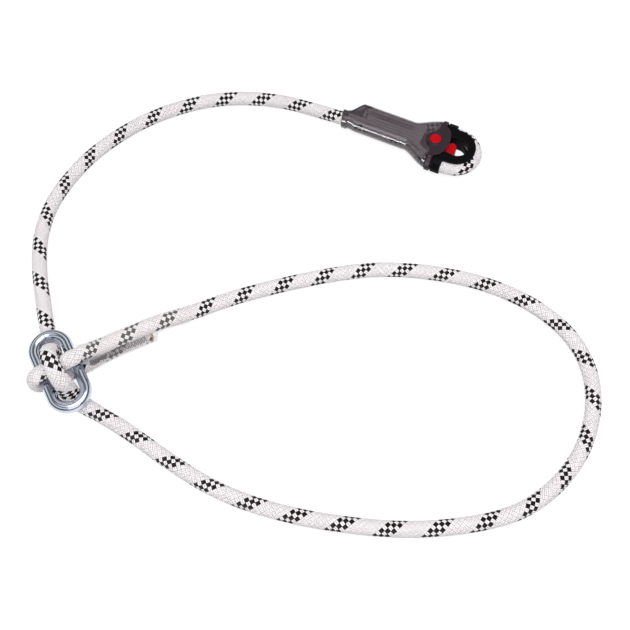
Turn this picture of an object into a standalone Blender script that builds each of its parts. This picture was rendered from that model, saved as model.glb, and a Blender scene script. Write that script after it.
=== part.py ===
"""Adjustable rope lanyard, lying on a table.

One kernmantle rope runs from a thimble eye, along the anchor leg, through a steel ring hitch and
round a large loop. It comes back to the ring, where its end is sewn into an eye round the ring's
waist. A clear sleeve covers that seam, and a smoky cover holds the sewn end at the thimble.
Units are metres and +Z is up. The origin is on the table, under the middle of the lanyard.
"""
import math

import bmesh
import bpy
import numpy as np
from mathutils import Matrix, Vector

# Rope
ROPE_DIAMETER = 0.011
CLEARANCE = 0.0003
CUT_GAP = 0.0003
ROPE_SIDES_LEVEL = 3
FREE_STEP = 0.017
TIGHT_STEP = 0.0032
SQUARE_END = 0.0006
SAMPLES_PER_KNOT = 12

# Oval ring
RING_WIRE = 0.008
RING_LENGTH = 0.066
RING_WIDTH = 0.031
RING_X = -0.1689
RING_Y = -0.0700
RING_TURN = math.radians(28.0)
EYE_DIP = 0.0022

# Clear sleeve over the seam at the ring
SLEEVE_WALL = 0.0006
SLEEVE_CLEARANCE = 0.0004
TAIL_COVER = 0.0010
TAIL_STEP_SHAPE = [(0.0, 1.0), (0.0018, 0.93), (0.0034, 0.55), (0.0050, 0.16), (0.0068, 0.0)]
SLEEVE_START_KNOT = 1
SEAM_THREAD = 0.0007
SEAM_START = 0.0120
SEAM_PITCH = 0.0022
SEAM_HALF_WIDTH = 0.0023

# Sewn end at the thimble: the frame has U along the cover, V across it
END_X = 0.0331
END_Y = 0.1589
END_TURN = math.radians(-24.6)
MOUTH_U = -0.0015
TAIL_U = 0.0130
COVER_END_U = 0.0750
SPREAD_START = COVER_END_U - 0.0230
SPREAD_END = COVER_END_U + 0.0050
EYE_BEND_RADIUS = 0.0166
EYE_CENTRE_U = COVER_END_U + 0.0155

COVER_WALL = 0.0007
COVER_CLEARANCE = 0.0006
COVER_HALF_WIDTH = 0.0132
MOUTH_HALF_WIDTH = 0.0083
MOUTH_TILT = math.radians(16.0)
MOUTH_DROP = 0.0003
LABEL_THICKNESS = 0.0003
LABEL_END_GAP = 0.0100
LABEL_WIDTH = 0.0122
LABEL_START_U = 0.0150
COVER_SEAM_PITCH = 0.0030
NOTCH_MARGIN = 0.0014

THIMBLE_FACE = 0.0073
THIMBLE_NECK = 0.0067
FLANGE_RADIUS = 0.0165
FLANGE_CENTRE_U = EYE_CENTRE_U + 0.0017
OPENING_RADIUS = 0.0085
OPENING_CENTRE_U = EYE_CENTRE_U + 0.0035
EAR_START_U = EYE_CENTRE_U - 0.0100
EAR_END_U = EYE_CENTRE_U - 0.0025
EAR_WALL = 0.0012
NOSE_REACH = 0.0125
THIMBLE_EDGE = 0.0009
THROUGH = 0.0200
CHANNEL_SIDES = 12

YOKE_THICKNESS = 0.0009
YOKE_BAND_START_U = COVER_END_U + CLEARANCE
YOKE_BULGE_U = EYE_CENTRE_U - 0.0032
YOKE_BULGE_HALF = 0.0145
STRAND_COVER = 0.0010
HOOP_EDGE = 0.0005
BOSS_RADIUS = 0.0073
RIM_HEIGHT = 0.0003

PIVOT_U = EYE_CENTRE_U - 0.0148
DISC_RADIUS = 0.0045
PIN_RADIUS = 0.0021
HUB_RADIUS = 0.0052
KEEPER_HALF_THICKNESS = 0.0042

# Worked out from the above
ROPE_RADIUS = ROPE_DIAMETER / 2
STRAND_PITCH = ROPE_DIAMETER + CLEARANCE
RING_Z = STRAND_PITCH + RING_WIRE / 2
BAR_OFFSET = (RING_WIDTH - RING_WIRE) / 2
END_BAR_OFFSET = (RING_LENGTH - RING_WIRE) / 2
WRAP_RADIUS = RING_WIRE / 2 + CLEARANCE + ROPE_RADIUS
STRAND_TOP_Z = RING_Z + WRAP_RADIUS
BIGHT_TOP_Z = STRAND_TOP_Z - EYE_DIP + STRAND_PITCH + CLEARANCE
HALF_STRANDS = STRAND_PITCH / 2
COVER_HALF_THICKNESS = ROPE_RADIUS + COVER_CLEARANCE + COVER_WALL
LABEL_LENGTH = COVER_END_U - LABEL_END_GAP - LABEL_START_U
YOKE_INNER = max(COVER_HALF_THICKNESS, THIMBLE_NECK) + CLEARANCE
YOKE_OUTER = YOKE_INNER + YOKE_THICKNESS
YOKE_BAND_END_U = EAR_START_U - 2 * CLEARANCE
YOKE_SIDE_RADIUS = YOKE_INNER + YOKE_THICKNESS / 2
END_Z = YOKE_OUTER + RIM_HEIGHT
CHANNEL_RADIUS = ROPE_RADIUS + CLEARANCE
SLEEVED_Z = ROPE_RADIUS + SLEEVE_CLEARANCE + SLEEVE_WALL
NOSE_HALF_THICKNESS = ROPE_RADIUS - 0.0001

# The free rope's own points, as it lies on the table
LEG_POINTS = [
    (0.0172, 0.1598), (-0.0045, 0.1682), (-0.0272, 0.1745), (-0.0504, 0.1765),
    (-0.0737, 0.1751), (-0.0962, 0.1695), (-0.1178, 0.1606), (-0.1380, 0.1485),
    (-0.1560, 0.1337), (-0.1718, 0.1168), (-0.1847, 0.0973), (-0.1945, 0.0762),
    (-0.1996, 0.0535), (-0.1995, 0.0302), (-0.1957, 0.0072), (-0.1900, -0.0155),
]
LOOP_POINTS = [
    (-0.1263, -0.1066), (-0.1028, -0.1227), (-0.0791, -0.1387), (-0.0540, -0.1525),
    (-0.0273, -0.1624), (0.0003, -0.1694), (0.0285, -0.1739), (0.0570, -0.1765),
    (0.0855, -0.1761), (0.1140, -0.1725), (0.1412, -0.1645), (0.1650, -0.1490),
    (0.1839, -0.1276), (0.1960, -0.1018), (0.1999, -0.0737), (0.1931, -0.0462),
    (0.1760, -0.0236), (0.1530, -0.0069), (0.1268, 0.0046), (0.0991, 0.0115),
    (0.0707, 0.0149), (0.0422, 0.0143), (0.0140, 0.0096), (-0.0138, 0.0031),
    (-0.0375, -0.0036),
]
LOOP_RISE_POINTS = [(-0.0514, -0.0081, 0.0001), (-0.0649, -0.0138, 0.0011), (-0.0780, -0.0202, 0.0030)]
SLEEVE_FAR_POINTS = [
    (-0.0841, -0.0236, 0.0050), (-0.0894, -0.0268, 0.0070), (-0.0953, -0.0299, 0.0090),
    (-0.1005, -0.0325, 0.0107), (-0.1058, -0.0353, 0.0118),
]
LEG_SPLIT = 3
SEAM_POINTS = [
    (-0.1545, -0.0622), (-0.1488, -0.0583), (-0.1425, -0.0543), (-0.1353, -0.0502),
    (-0.1276, -0.0463), (-0.1199, -0.0427), (-0.1134, -0.0396), (-0.1090, -0.0376),
]
SEAM_LEAN = math.radians(87.0)
SEAM_SPREAD = [0.0062, 0.0034, 0.0010, 0.0, 0.0, 0.0, 0.0, 0.0]

COLLECTION_NAME = "adjustable_rope_lanyard"


def clear_scene():
    for existing in list(bpy.data.objects):
        bpy.data.objects.remove(existing, do_unlink=True)


def make_collection(name):
    collection = bpy.data.collections.new(name)
    bpy.context.scene.collection.children.link(collection)
    return collection


def make_material(name, colour, roughness, metallic=0.0, alpha=1.0):
    material = bpy.data.materials.new(name)
    material.use_nodes = True
    shader = material.node_tree.nodes["Principled BSDF"]
    shader.inputs["Base Color"].default_value = (*colour, 1.0)
    shader.inputs["Roughness"].default_value = roughness
    shader.inputs["Metallic"].default_value = metallic
    shader.inputs["Alpha"].default_value = alpha
    material.diffuse_color = (*colour, alpha)
    return material


def add_object(name, data, collection, material=None):
    item = bpy.data.objects.new(name, data)
    collection.objects.link(item)
    if material is not None:
        item.data.materials.append(material)
    return item


def evaluated_mesh(item):
    bpy.context.view_layer.update()
    graph = bpy.context.evaluated_depsgraph_get()
    return bpy.data.meshes.new_from_object(item.evaluated_get(graph))


def bake_to_mesh(item, material):
    """Swap a curve or modified object for the plain mesh that it evaluates to."""
    mesh = evaluated_mesh(item)
    work = bmesh.new()
    work.from_mesh(mesh)
    bmesh.ops.remove_doubles(work, verts=work.verts, dist=1e-6)
    bmesh.ops.recalc_face_normals(work, faces=work.faces)
    work.to_mesh(mesh)
    work.free()
    name = item.name
    matrix = item.matrix_world.copy()
    collection = item.users_collection[0]
    bpy.data.objects.remove(item, do_unlink=True)
    baked = bpy.data.objects.new(name, mesh)
    collection.objects.link(baked)
    baked.matrix_world = matrix
    mesh.materials.clear()
    if material is not None:
        mesh.materials.append(material)
    return baked


def shade_by_angle(item, degrees=35.0):
    item.data.shade_smooth()
    item.data.set_sharp_from_angle(angle=math.radians(degrees))


def boolean(item, other, operation):
    modifier = item.modifiers.new(operation.lower() + "_" + other.name, "BOOLEAN")
    modifier.operation = operation
    modifier.object = other
    modifier.solver = "EXACT"


def bevel(item, width, segments=2, angle=40.0):
    modifier = item.modifiers.new("rounded_edges", "BEVEL")
    modifier.width = width
    modifier.segments = segments
    modifier.limit_method = "ANGLE"
    modifier.angle_limit = math.radians(angle)


# Smooth rope line

def smooth_line(points, lowest=None):
    """Natural cubic spline through points, densely sampled, with the distance run at each row."""
    knots = np.array([tuple(p) for p in points], dtype=float)
    chord = np.linalg.norm(np.diff(knots, axis=0), axis=1)
    count = len(knots)
    system = np.zeros((count, count))
    right = np.zeros((count, 3))
    system[0, 0] = 1.0
    system[-1, -1] = 1.0
    for i in range(1, count - 1):
        system[i, i - 1] = chord[i - 1]
        system[i, i] = 2.0 * (chord[i - 1] + chord[i])
        system[i, i + 1] = chord[i]
        slope_after = (knots[i + 1] - knots[i]) / chord[i]
        slope_before = (knots[i] - knots[i - 1]) / chord[i - 1]
        right[i] = 6.0 * (slope_after - slope_before)
    bend = np.linalg.solve(system, right)
    dense = []
    for i in range(count - 1):
        h = chord[i]
        for k in range(SAMPLES_PER_KNOT):
            b = k / SAMPLES_PER_KNOT
            a = 1.0 - b
            curve_part = ((a ** 3 - a) * bend[i] + (b ** 3 - b) * bend[i + 1]) * h * h / 6.0
            dense.append(a * knots[i] + b * knots[i + 1] + curve_part)
    dense.append(knots[-1])
    dense = np.array(dense)
    if lowest is not None:
        dense[:, 2] = np.maximum(dense[:, 2], lowest)
    run = np.concatenate([[0.0], np.cumsum(np.linalg.norm(np.diff(dense, axis=0), axis=1))])
    return dense, run


def stretch_of(line, run, start, end, step):
    """Points along the line between two distances, evenly spaced, with square ends."""
    count = max(2, int(math.ceil((end - start) / step)) + 1)
    places = list(np.linspace(start, end, count))
    places = [start, start + SQUARE_END] + places[1:-1] + [end - SQUARE_END, end]
    return np.stack([np.interp(places, run, line[:, k]) for k in range(3)], axis=1)


# Frames of the ring and of the sewn end

def at_row(line, row):
    """A place on the line at a row number that need not be whole."""
    numbers = range(len(line))
    return Vector([float(np.interp(row, numbers, line[:, axis])) for axis in range(3)])


def ring_place(along, across, height):
    """A world point from distances along and across the ring, at a height over the table."""
    x = RING_X - along * math.sin(RING_TURN) + across * math.cos(RING_TURN)
    y = RING_Y + along * math.cos(RING_TURN) + across * math.sin(RING_TURN)
    return Vector((x, y, height))


def end_matrix():
    return Matrix.Translation((END_X, END_Y, END_Z)) @ Matrix.Rotation(END_TURN, 4, "Z")


def strand_offset(u):
    """Half the distance between the two strands at a place along the sewn end."""
    ratio = (u - SPREAD_START) / (SPREAD_END - SPREAD_START)
    ratio = min(1.0, max(0.0, ratio))
    blend = ratio * ratio * (3.0 - 2.0 * ratio)
    return HALF_STRANDS + (EYE_BEND_RADIUS - HALF_STRANDS) * blend


def end_rope_points():
    """Tail, turn round the thimble and standing part, from the tail's tip to the mouth."""
    points = []
    straight = np.linspace(TAIL_U, SPREAD_START, 5)
    spread = np.linspace(SPREAD_START, EYE_CENTRE_U, 11)[1:]
    side = list(straight) + list(spread)
    for u in side:
        points.append((u, strand_offset(u)))
    for k in range(1, 12):
        angle = math.pi / 2 - math.pi * k / 12
        points.append((EYE_CENTRE_U + EYE_BEND_RADIUS * math.cos(angle),
                       EYE_BEND_RADIUS * math.sin(angle)))
    for u in reversed(side[1:]):
        points.append((u, -strand_offset(u)))
    points.append((TAIL_U * 0.5, -HALF_STRANDS))
    points.append((MOUTH_U, -HALF_STRANDS - MOUTH_DROP))
    matrix = end_matrix()
    return [matrix @ Vector((u, v, 0.0)) for u, v in points]


def hitch_points():
    """The bight that goes up through the ring, over the sewn eye and down again."""
    down = ROPE_RADIUS
    side = STRAND_PITCH + 0.0014
    axis_z = STRAND_TOP_Z - EYE_DIP
    points = []
    points.append(ring_place(END_BAR_OFFSET + 0.0090, 0.0026, down))
    points.append(ring_place(END_BAR_OFFSET + 0.0010, 0.0016, down))
    points.append(ring_place(END_BAR_OFFSET - 0.0065, 0.0010, down + 0.0007))
    points.append(ring_place(side + 0.0042, 0.0008, down + 0.0044))
    points.append(ring_place(side + 0.0012, 0.0008, down + 0.0096))
    points.append(ring_place(side, 0.0008, axis_z - 0.0010))
    for degrees in (25, 50, 70, 90, 110, 130, 155):
        angle = math.radians(degrees)
        shift = -0.0012 * math.sin(angle)
        points.append(ring_place(side * math.cos(angle), shift,
                                 axis_z + (BIGHT_TOP_Z - axis_z) * math.sin(angle)))
    points.append(ring_place(-side, 0.0, axis_z - 0.0010))
    points.append(ring_place(-side - 0.0012, 0.0002, down + 0.0096))
    points.append(ring_place(-side - 0.0042, 0.0010, down + 0.0044))
    points.append(ring_place(-side - 0.0100, 0.0032, down + 0.0007))
    points.append(ring_place(-side - 0.0165, 0.0066, down))
    points.append(ring_place(-side - 0.0240, 0.0110, down))
    return points


def seam_pairs():
    """The standing strand and the tail below it, station by station, from the ring outward."""
    pairs = []
    last = len(SEAM_POINTS) - 1
    for k, (x, y) in enumerate(SEAM_POINTS):
        lower = Vector((x, y, SLEEVED_Z))
        before = Vector((*SEAM_POINTS[max(0, k - 1)], 0.0))
        after = Vector((*SEAM_POINTS[min(last, k + 1)], 0.0))
        forward = (after - before).normalized()
        left = Vector((-forward.y, forward.x, 0.0))
        up = math.cos(SEAM_LEAN) * left + Vector((0.0, 0.0, math.sin(SEAM_LEAN)))
        pairs.append((lower + (STRAND_PITCH + SEAM_SPREAD[k]) * up, lower))
    return pairs


def lifted(points):
    """Points given as place on the table and lift of the rope above it."""
    return [Vector((x, y, ROPE_RADIUS + lift)) for x, y, lift in points]


def sewn_eye_points():
    """Standing part down the sleeve, over the ring, round its bar and back as the tail."""
    pairs = seam_pairs()
    points = lifted(SLEEVE_FAR_POINTS)
    points += [upper for upper, lower in reversed(pairs)]
    points.append(ring_place(0.0, BAR_OFFSET + 0.0005, STRAND_TOP_Z))
    points.append(ring_place(0.0, 0.0, STRAND_TOP_Z - EYE_DIP))
    points.append(ring_place(0.0, -BAR_OFFSET, STRAND_TOP_Z))
    for degrees in (115, 140, 165, 190, 215, 240):
        angle = math.radians(degrees)
        points.append(ring_place(0.0, -BAR_OFFSET + WRAP_RADIUS * math.cos(angle),
                                 RING_Z + WRAP_RADIUS * math.sin(angle)))
    points.append(ring_place(0.0, -BAR_OFFSET, ROPE_RADIUS))
    points.append(ring_place(0.0, 0.0, ROPE_RADIUS))
    points.append(ring_place(0.0, BAR_OFFSET, ROPE_RADIUS))
    points += [lower for upper, lower in pairs]
    return points


def whole_rope():
    """One line from the tail at the thimble to the tail at the ring, and its marked rows."""
    end_part = end_rope_points()
    leg = []
    for k, (x, y) in enumerate(LEG_POINTS):
        lift = max(0.0, 1.0 - k / 2.0) * (END_Z - ROPE_RADIUS) * 0.45
        leg.append(Vector((x, y, ROPE_RADIUS + lift)))
    loop = [Vector((x, y, ROPE_RADIUS)) for x, y in LOOP_POINTS] + lifted(LOOP_RISE_POINTS)
    hitch = hitch_points()
    eye = sewn_eye_points()
    line, run = smooth_line(end_part + leg + hitch + loop + eye, lowest=ROPE_RADIUS)
    pair_count = len(SEAM_POINTS)
    ring_in = len(end_part) + len(leg)
    sleeve_end = ring_in + len(hitch) + len(loop)
    last_knot = sleeve_end + len(eye) - 1
    knots = {
        "tail_at_thimble": 0,
        "mouth": len(end_part) - 1,
        "split": len(end_part) + LEG_SPLIT,
        "ring_in": ring_in,
        "ring_out": ring_in + len(hitch) - 1,
        "sleeve_end": sleeve_end,
        "pair_far_upper": sleeve_end + len(SLEEVE_FAR_POINTS),
        "pair_near_upper": sleeve_end + len(SLEEVE_FAR_POINTS) + pair_count - 1,
        "pair_near_lower": last_knot - pair_count + 1,
        "tail_at_ring": last_knot,
    }
    rows = {name: knot * SAMPLES_PER_KNOT for name, knot in knots.items()}
    return line, run, rows


# Rope stretches

def rope_tube(name, points, collection, material, level=ROPE_SIDES_LEVEL, radius=ROPE_RADIUS):
    curve = bpy.data.curves.new(name, "CURVE")
    curve.dimensions = "3D"
    spline = curve.splines.new("POLY")
    spline.points.add(len(points) - 1)
    for point, place in zip(spline.points, points):
        point.co = (*place, 1.0)
    curve.bevel_depth = radius
    curve.bevel_resolution = level
    curve.use_fill_caps = True
    curve.resolution_u = 1
    curve.render_resolution_u = 0
    return add_object(name, curve, collection, material)


def build_rope(collection, material):
    line, run, rows = whole_rope()
    stretches = [
        ("rope_thimble_eye", "tail_at_thimble", "mouth", TIGHT_STEP),
        ("rope_boot_stretch", "mouth", "split", FREE_STEP / 2),
        ("rope_anchor_leg", "split", "ring_in", FREE_STEP),
        ("rope_bight", "ring_in", "ring_out", TIGHT_STEP),
        ("rope_loop", "ring_out", "sleeve_end", FREE_STEP),
        ("rope_sewn_eye", "sleeve_end", "tail_at_ring", TIGHT_STEP),
    ]
    for name, first, last, step in stretches:
        start = run[rows[first]]
        end = run[rows[last]]
        if first != "tail_at_thimble":
            start += CUT_GAP / 2
        if last != "tail_at_ring":
            end -= CUT_GAP / 2
        points = stretch_of(line, run, start, end, step)
        rope_tube(name, points, collection, material)
        print(f"{name}: {end - start:.4f} m, {len(points)} points")
    print(f"rope in all: {run[-1]:.4f} m")
    return line, run, rows


# Ring

def build_ring(collection, material):
    """Welded oval ring of round bar, lying on the rope."""
    end_radius = BAR_OFFSET
    straight = (RING_LENGTH - RING_WIDTH) / 2
    steps = 14
    outline = []
    for k in range(steps + 1):
        angle = math.pi * k / steps
        outline.append((straight + end_radius * math.sin(angle), end_radius * math.cos(angle)))
    for k in range(steps + 1):
        angle = math.pi * k / steps
        outline.append((-straight - end_radius * math.sin(angle), -end_radius * math.cos(angle)))
    curve = bpy.data.curves.new("oval_ring", "CURVE")
    curve.dimensions = "3D"
    spline = curve.splines.new("POLY")
    spline.points.add(len(outline) - 1)
    for point, (along, across) in zip(spline.points, outline):
        point.co = (*ring_place(along, across, RING_Z), 1.0)
    spline.use_cyclic_u = True
    curve.bevel_depth = RING_WIRE / 2
    curve.bevel_resolution = 4
    curve.resolution_u = 1
    curve.render_resolution_u = 0
    return add_object("oval_ring", curve, collection, material)


# Lofted shells

def loft_shell(name, outer_rings, inner_rings, collection, material):
    """A tube shell, open at both ends, from two lists of rings with equal point counts."""
    work = bmesh.new()

    def rows(rings):
        return [[work.verts.new(point) for point in ring] for ring in rings]

    outer = rows(outer_rings)
    inner = rows(inner_rings)
    size = len(outer_rings[0])

    def skin(bands):
        for near, far in zip(bands[:-1], bands[1:]):
            for k in range(size):
                nxt = (k + 1) % size
                work.faces.new((near[k], near[nxt], far[nxt], far[k]))

    skin(outer)
    skin(inner)
    for rim_outer, rim_inner in ((outer[0], inner[0]), (outer[-1], inner[-1])):
        for k in range(size):
            nxt = (k + 1) % size
            work.faces.new((rim_outer[k], rim_outer[nxt], rim_inner[nxt], rim_inner[k]))
    bmesh.ops.remove_doubles(work, verts=work.verts, dist=1e-6)
    bmesh.ops.dissolve_degenerate(work, edges=work.edges, dist=1e-6)
    bmesh.ops.recalc_face_normals(work, faces=work.faces)
    mesh = bpy.data.meshes.new(name)
    work.to_mesh(mesh)
    work.free()
    item = add_object(name, mesh, collection, material)
    shade_by_angle(item)
    return item


def strand_arc(centre, direction, away, radius, half_count=7):
    """Half circle about a strand and square to it, bulging away from the other strand."""
    out = (away - direction * away.dot(direction)).normalized()
    side = direction.cross(out)
    points = []
    for k in range(half_count + 1):
        angle = -math.pi / 2 + math.pi * k / half_count
        points.append(centre + radius * (math.cos(angle) * out + math.sin(angle) * side))
    return points


def sleeve_stations(line, run, rows):
    """Places of both strands along the sleeve, from its mouth at the ring to its far end."""
    stations = []
    span = rows["tail_at_ring"] - rows["pair_near_lower"]
    for step in range(SLEEVE_START_KNOT * SAMPLES_PER_KNOT, span + 1, SAMPLES_PER_KNOT // 2):
        upper = Vector(line[rows["pair_near_upper"] - step])
        lower = Vector(line[rows["pair_near_lower"] + step])
        stations.append((upper, lower, upper - lower))
    upper_end = run[rows["pair_far_upper"]]
    toward = stations[-1][2]
    reach = upper_end - run[rows["sleeve_end"]]
    step_in = [(TAIL_COVER + ahead, share) for ahead, share in TAIL_STEP_SHAPE]
    bare = [(ahead, 0.0) for ahead in np.linspace(step_in[-1][0], reach, 5)[1:]]
    for ahead, share in step_in + bare:
        upper = Vector([float(np.interp(upper_end - ahead, run, line[:, axis])) for axis in range(3)])
        stations.append((upper, upper - toward * share, toward))
    return stations


def build_sleeve(line, run, rows, collection, material):
    stations = sleeve_stations(line, run, rows)
    last = len(stations) - 1
    both = last - len(TAIL_STEP_SHAPE) - 4
    outer_rings = []
    inner_rings = []
    for k, (upper, lower, toward) in enumerate(stations):
        before = stations[max(0, k - 1)]
        after = stations[min(last, k + 1)]
        along_upper = (after[0] - before[0]).normalized()
        along_lower = (after[1] - before[1]).normalized() if k < both else along_upper
        inner_radius = ROPE_RADIUS + SLEEVE_CLEARANCE
        for rings, radius in ((inner_rings, inner_radius), (outer_rings, inner_radius + SLEEVE_WALL)):
            ring = strand_arc(upper, along_upper, toward, radius)
            ring += strand_arc(lower, along_lower, -toward, radius)
            rings.append(ring)
    return loft_shell("adjuster_sleeve", outer_rings, inner_rings, collection, material)


def zigzag_points(count, place_at):
    """Corner points of a zig-zag seam; place_at gives a point from a step and a side."""
    points = []
    for k in range(count + 1):
        side = 1.0 if k % 2 == 0 else -1.0
        points.append(place_at(k, side))
    return points


def build_adjuster_stitching(line, run, rows, collection, material):
    """Zig-zag seam bridging the valley between the strands, on both faces of the pair."""
    first = rows["pair_near_lower"]
    last = rows["tail_at_ring"]
    length = run[last] - run[first]
    count = int((length - SEAM_START - 0.0030) / SEAM_PITCH)
    depth = ROPE_RADIUS + SLEEVE_CLEARANCE - CLEARANCE - SEAM_THREAD / 2

    def frame_at(distance):
        row = float(np.interp(run[first] + distance, run[first:last + 1], range(first, last + 1)))
        lower = at_row(line, row)
        upper = at_row(line, rows["pair_near_upper"] - (row - first))
        forward = (at_row(line, row + 3) - at_row(line, row - 3)).normalized()
        toward = (upper - lower).normalized()
        return (upper + lower) / 2, toward, forward.cross(toward)

    for name, face in (("adjuster_stitching_front", 1.0), ("adjuster_stitching_back", -1.0)):
        def place_at(k, side):
            middle, toward, normal = frame_at(SEAM_START + k * SEAM_PITCH)
            return middle + toward * side * SEAM_HALF_WIDTH + normal * face * depth
        points = zigzag_points(count, place_at)
        rope_tube(name, points, collection, material, level=1, radius=SEAM_THREAD / 2)


# Sewn end: the cover, its label and its seam, in the end's own frame

def oval_ring_points(u, v, half_width, half_thickness, tilt, half_count=7):
    """Stadium outline across the cover, its plane turned by tilt about the upright axis."""
    corner = min(half_thickness, half_width)
    reach = half_width - corner
    points = []
    for centre, start in ((reach, -math.pi / 2), (-reach, math.pi / 2)):
        for k in range(half_count + 1):
            angle = start + math.pi * k / half_count
            across = centre + corner * math.cos(angle)
            height = half_thickness * math.sin(angle)
            points.append((u - across * math.tan(tilt), v + across, height))
    return points


def cover_stations():
    """U, middle V, half width, half thickness, wall and tilt of each ring of the cover."""
    mouth_v = -HALF_STRANDS - MOUTH_DROP
    thick = COVER_HALF_THICKNESS
    mouth_inner = ROPE_RADIUS + COVER_CLEARANCE
    rim = MOUTH_HALF_WIDTH
    tilt = MOUTH_TILT
    stations = [
        (MOUTH_U, mouth_v, rim - 0.0006, rim - 0.0006, rim - 0.0006 - mouth_inner, tilt),
        (MOUTH_U + 0.0007, mouth_v, rim, rim, rim - mouth_inner, tilt),
        (MOUTH_U + 0.0040, mouth_v, rim, rim, rim - mouth_inner, tilt),
        (MOUTH_U + 0.0047, mouth_v, rim - 0.0006, rim - 0.0008, rim - 0.0006 - mouth_inner, tilt),
        (MOUTH_U + 0.0064, mouth_v + 0.0010, rim, rim - 0.0012, COVER_WALL, tilt),
    ]
    shoulder_start = MOUTH_U + 0.0064
    shoulder_end = 0.0118
    for share in (0.4, 0.75, 1.0):
        blend = share * share * (3 - 2 * share)
        u = shoulder_start + (shoulder_end - shoulder_start) * share
        half = rim + (COVER_HALF_WIDTH - rim) * blend
        middle = (mouth_v + 0.0010) * (1 - blend)
        stations.append((u, middle, half, rim - 0.0012 + (thick - rim + 0.0012) * blend,
                         COVER_WALL, tilt * (1 - blend)))
    for u in (0.024, 0.038, SPREAD_START):
        stations.append((u, 0.0, COVER_HALF_WIDTH, thick, COVER_WALL, 0.0))
    steps = 7
    for k in range(1, steps + 1):
        u = SPREAD_START + (COVER_END_U - SPREAD_START) * k / steps
        slope = (strand_offset(u + 0.0005) - strand_offset(u - 0.0005)) / 0.001
        hug = strand_offset(u) + (ROPE_RADIUS + COVER_CLEARANCE) * math.hypot(1.0, slope) + COVER_WALL
        stations.append((u, 0.0, max(COVER_HALF_WIDTH - 0.0004, hug), thick, COVER_WALL, 0.0))
    return stations


def build_cover(collection, cutters, material):
    outer_rings = []
    inner_rings = []
    for u, v, half_width, half_thickness, wall, tilt in cover_stations():
        outer_rings.append([Vector(p) for p in oval_ring_points(u, v, half_width, half_thickness, tilt)])
        inner_rings.append([Vector(p) for p in oval_ring_points(u, v, half_width - wall,
                                                                half_thickness - wall, tilt)])
    cover = loft_shell("termination_cover", outer_rings, inner_rings, collection, material)
    cover.matrix_world = end_matrix()
    notch = disc_solid("cover_notch", PIN_RADIUS + NOTCH_MARGIN, -THROUGH, THROUGH, cutters, None)
    boolean(cover, as_cutter(notch, cutters), "DIFFERENCE")
    result = bake_to_mesh(cover, material)
    shade_by_angle(result)
    return result


def build_label(collection, material):
    """Blank card held between the rope and the front of the cover."""
    bpy.ops.mesh.primitive_cube_add(size=1.0)
    label = bpy.context.active_object
    label.name = "identification_label"
    label.data.name = "identification_label"
    label.data.transform(Matrix.Diagonal((LABEL_LENGTH, LABEL_WIDTH, LABEL_THICKNESS, 1.0)))
    for linked in list(label.users_collection):
        linked.objects.unlink(label)
    collection.objects.link(label)
    label.data.materials.append(material)
    height = ROPE_RADIUS + (COVER_CLEARANCE - LABEL_THICKNESS) / 2 + LABEL_THICKNESS / 2
    local = Matrix.Translation((LABEL_START_U + LABEL_LENGTH / 2, 0.0, height))
    label.matrix_world = end_matrix() @ local
    return label


def build_cover_stitching(collection, material):
    """Zig-zag seam between tail and standing part, in the valley on each face."""
    length = SPREAD_START - TAIL_U - 0.0060
    count = int(length / COVER_SEAM_PITCH)
    depth = ROPE_RADIUS - SEAM_THREAD / 2
    matrix = end_matrix()
    for name, face in (("termination_stitching_front", 1.0), ("termination_stitching_back", -1.0)):
        def place_at(k, side):
            u = TAIL_U + 0.0030 + k * COVER_SEAM_PITCH
            return matrix @ Vector((u, side * SEAM_HALF_WIDTH, face * depth))
        points = zigzag_points(count, place_at)
        rope_tube(name, points, collection, material, level=1, radius=SEAM_THREAD / 2)


# Flat moulded pieces of the sewn end

def arc(centre_u, centre_v, radius, start, end, count):
    points = []
    for k in range(count + 1):
        angle = math.radians(start + (end - start) * k / count)
        points.append((centre_u + radius * math.cos(angle), centre_v + radius * math.sin(angle)))
    return points


def flat_solid(name, outline, low, high, collection, material=None, round_edges=0.0):
    """Extruded flat outline between two heights, in the sewn end's frame."""
    curve = bpy.data.curves.new(name, "CURVE")
    curve.dimensions = "2D"
    curve.fill_mode = "BOTH"
    spline = curve.splines.new("POLY")
    spline.points.add(len(outline) - 1)
    for point, (u, v) in zip(spline.points, outline):
        point.co = (u, v, 0.0, 1.0)
    spline.use_cyclic_u = True
    curve.extrude = (high - low) / 2
    curve.resolution_u = 1
    curve.render_resolution_u = 0
    item = add_object(name, curve, collection, material)
    item.matrix_world = end_matrix() @ Matrix.Translation((0.0, 0.0, (high + low) / 2))
    baked = bake_to_mesh(item, material)
    if round_edges > 0.0:
        bevel(baked, round_edges)
        baked = bake_to_mesh(baked, material)
    return baked


def as_cutter(item, cutters):
    for linked in list(item.users_collection):
        linked.objects.unlink(item)
    cutters.objects.link(item)
    item.hide_render = True
    item.display_type = "WIRE"
    return item


def rope_channel(cutters, name="rope_channel"):
    """The space that the rope fills round the thimble, with its clearance."""
    points = end_rope_points()
    knots = len(points)
    turn = points[3:knots - 6]
    line, run = smooth_line(turn)
    places = stretch_of(line, run, 0.0, float(run[-1]), TIGHT_STEP)
    outer_radius = CHANNEL_RADIUS / math.cos(math.pi / CHANNEL_SIDES)
    level = (CHANNEL_SIDES - 4) // 2
    tube = rope_tube(name, places, cutters, None, level=level, radius=outer_radius)
    return as_cutter(bake_to_mesh(tube, None), cutters)


def rectangle(start_u, end_u, half_width):
    return [(start_u, -half_width), (end_u, -half_width), (end_u, half_width), (start_u, half_width)]


def mirrored(points):
    """Upper half of an outline, from its left end to its right end, with its mirror image."""
    lower = [(u, -v) for u, v in reversed(points) if abs(v) > 1e-9]
    return points + lower


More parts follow.
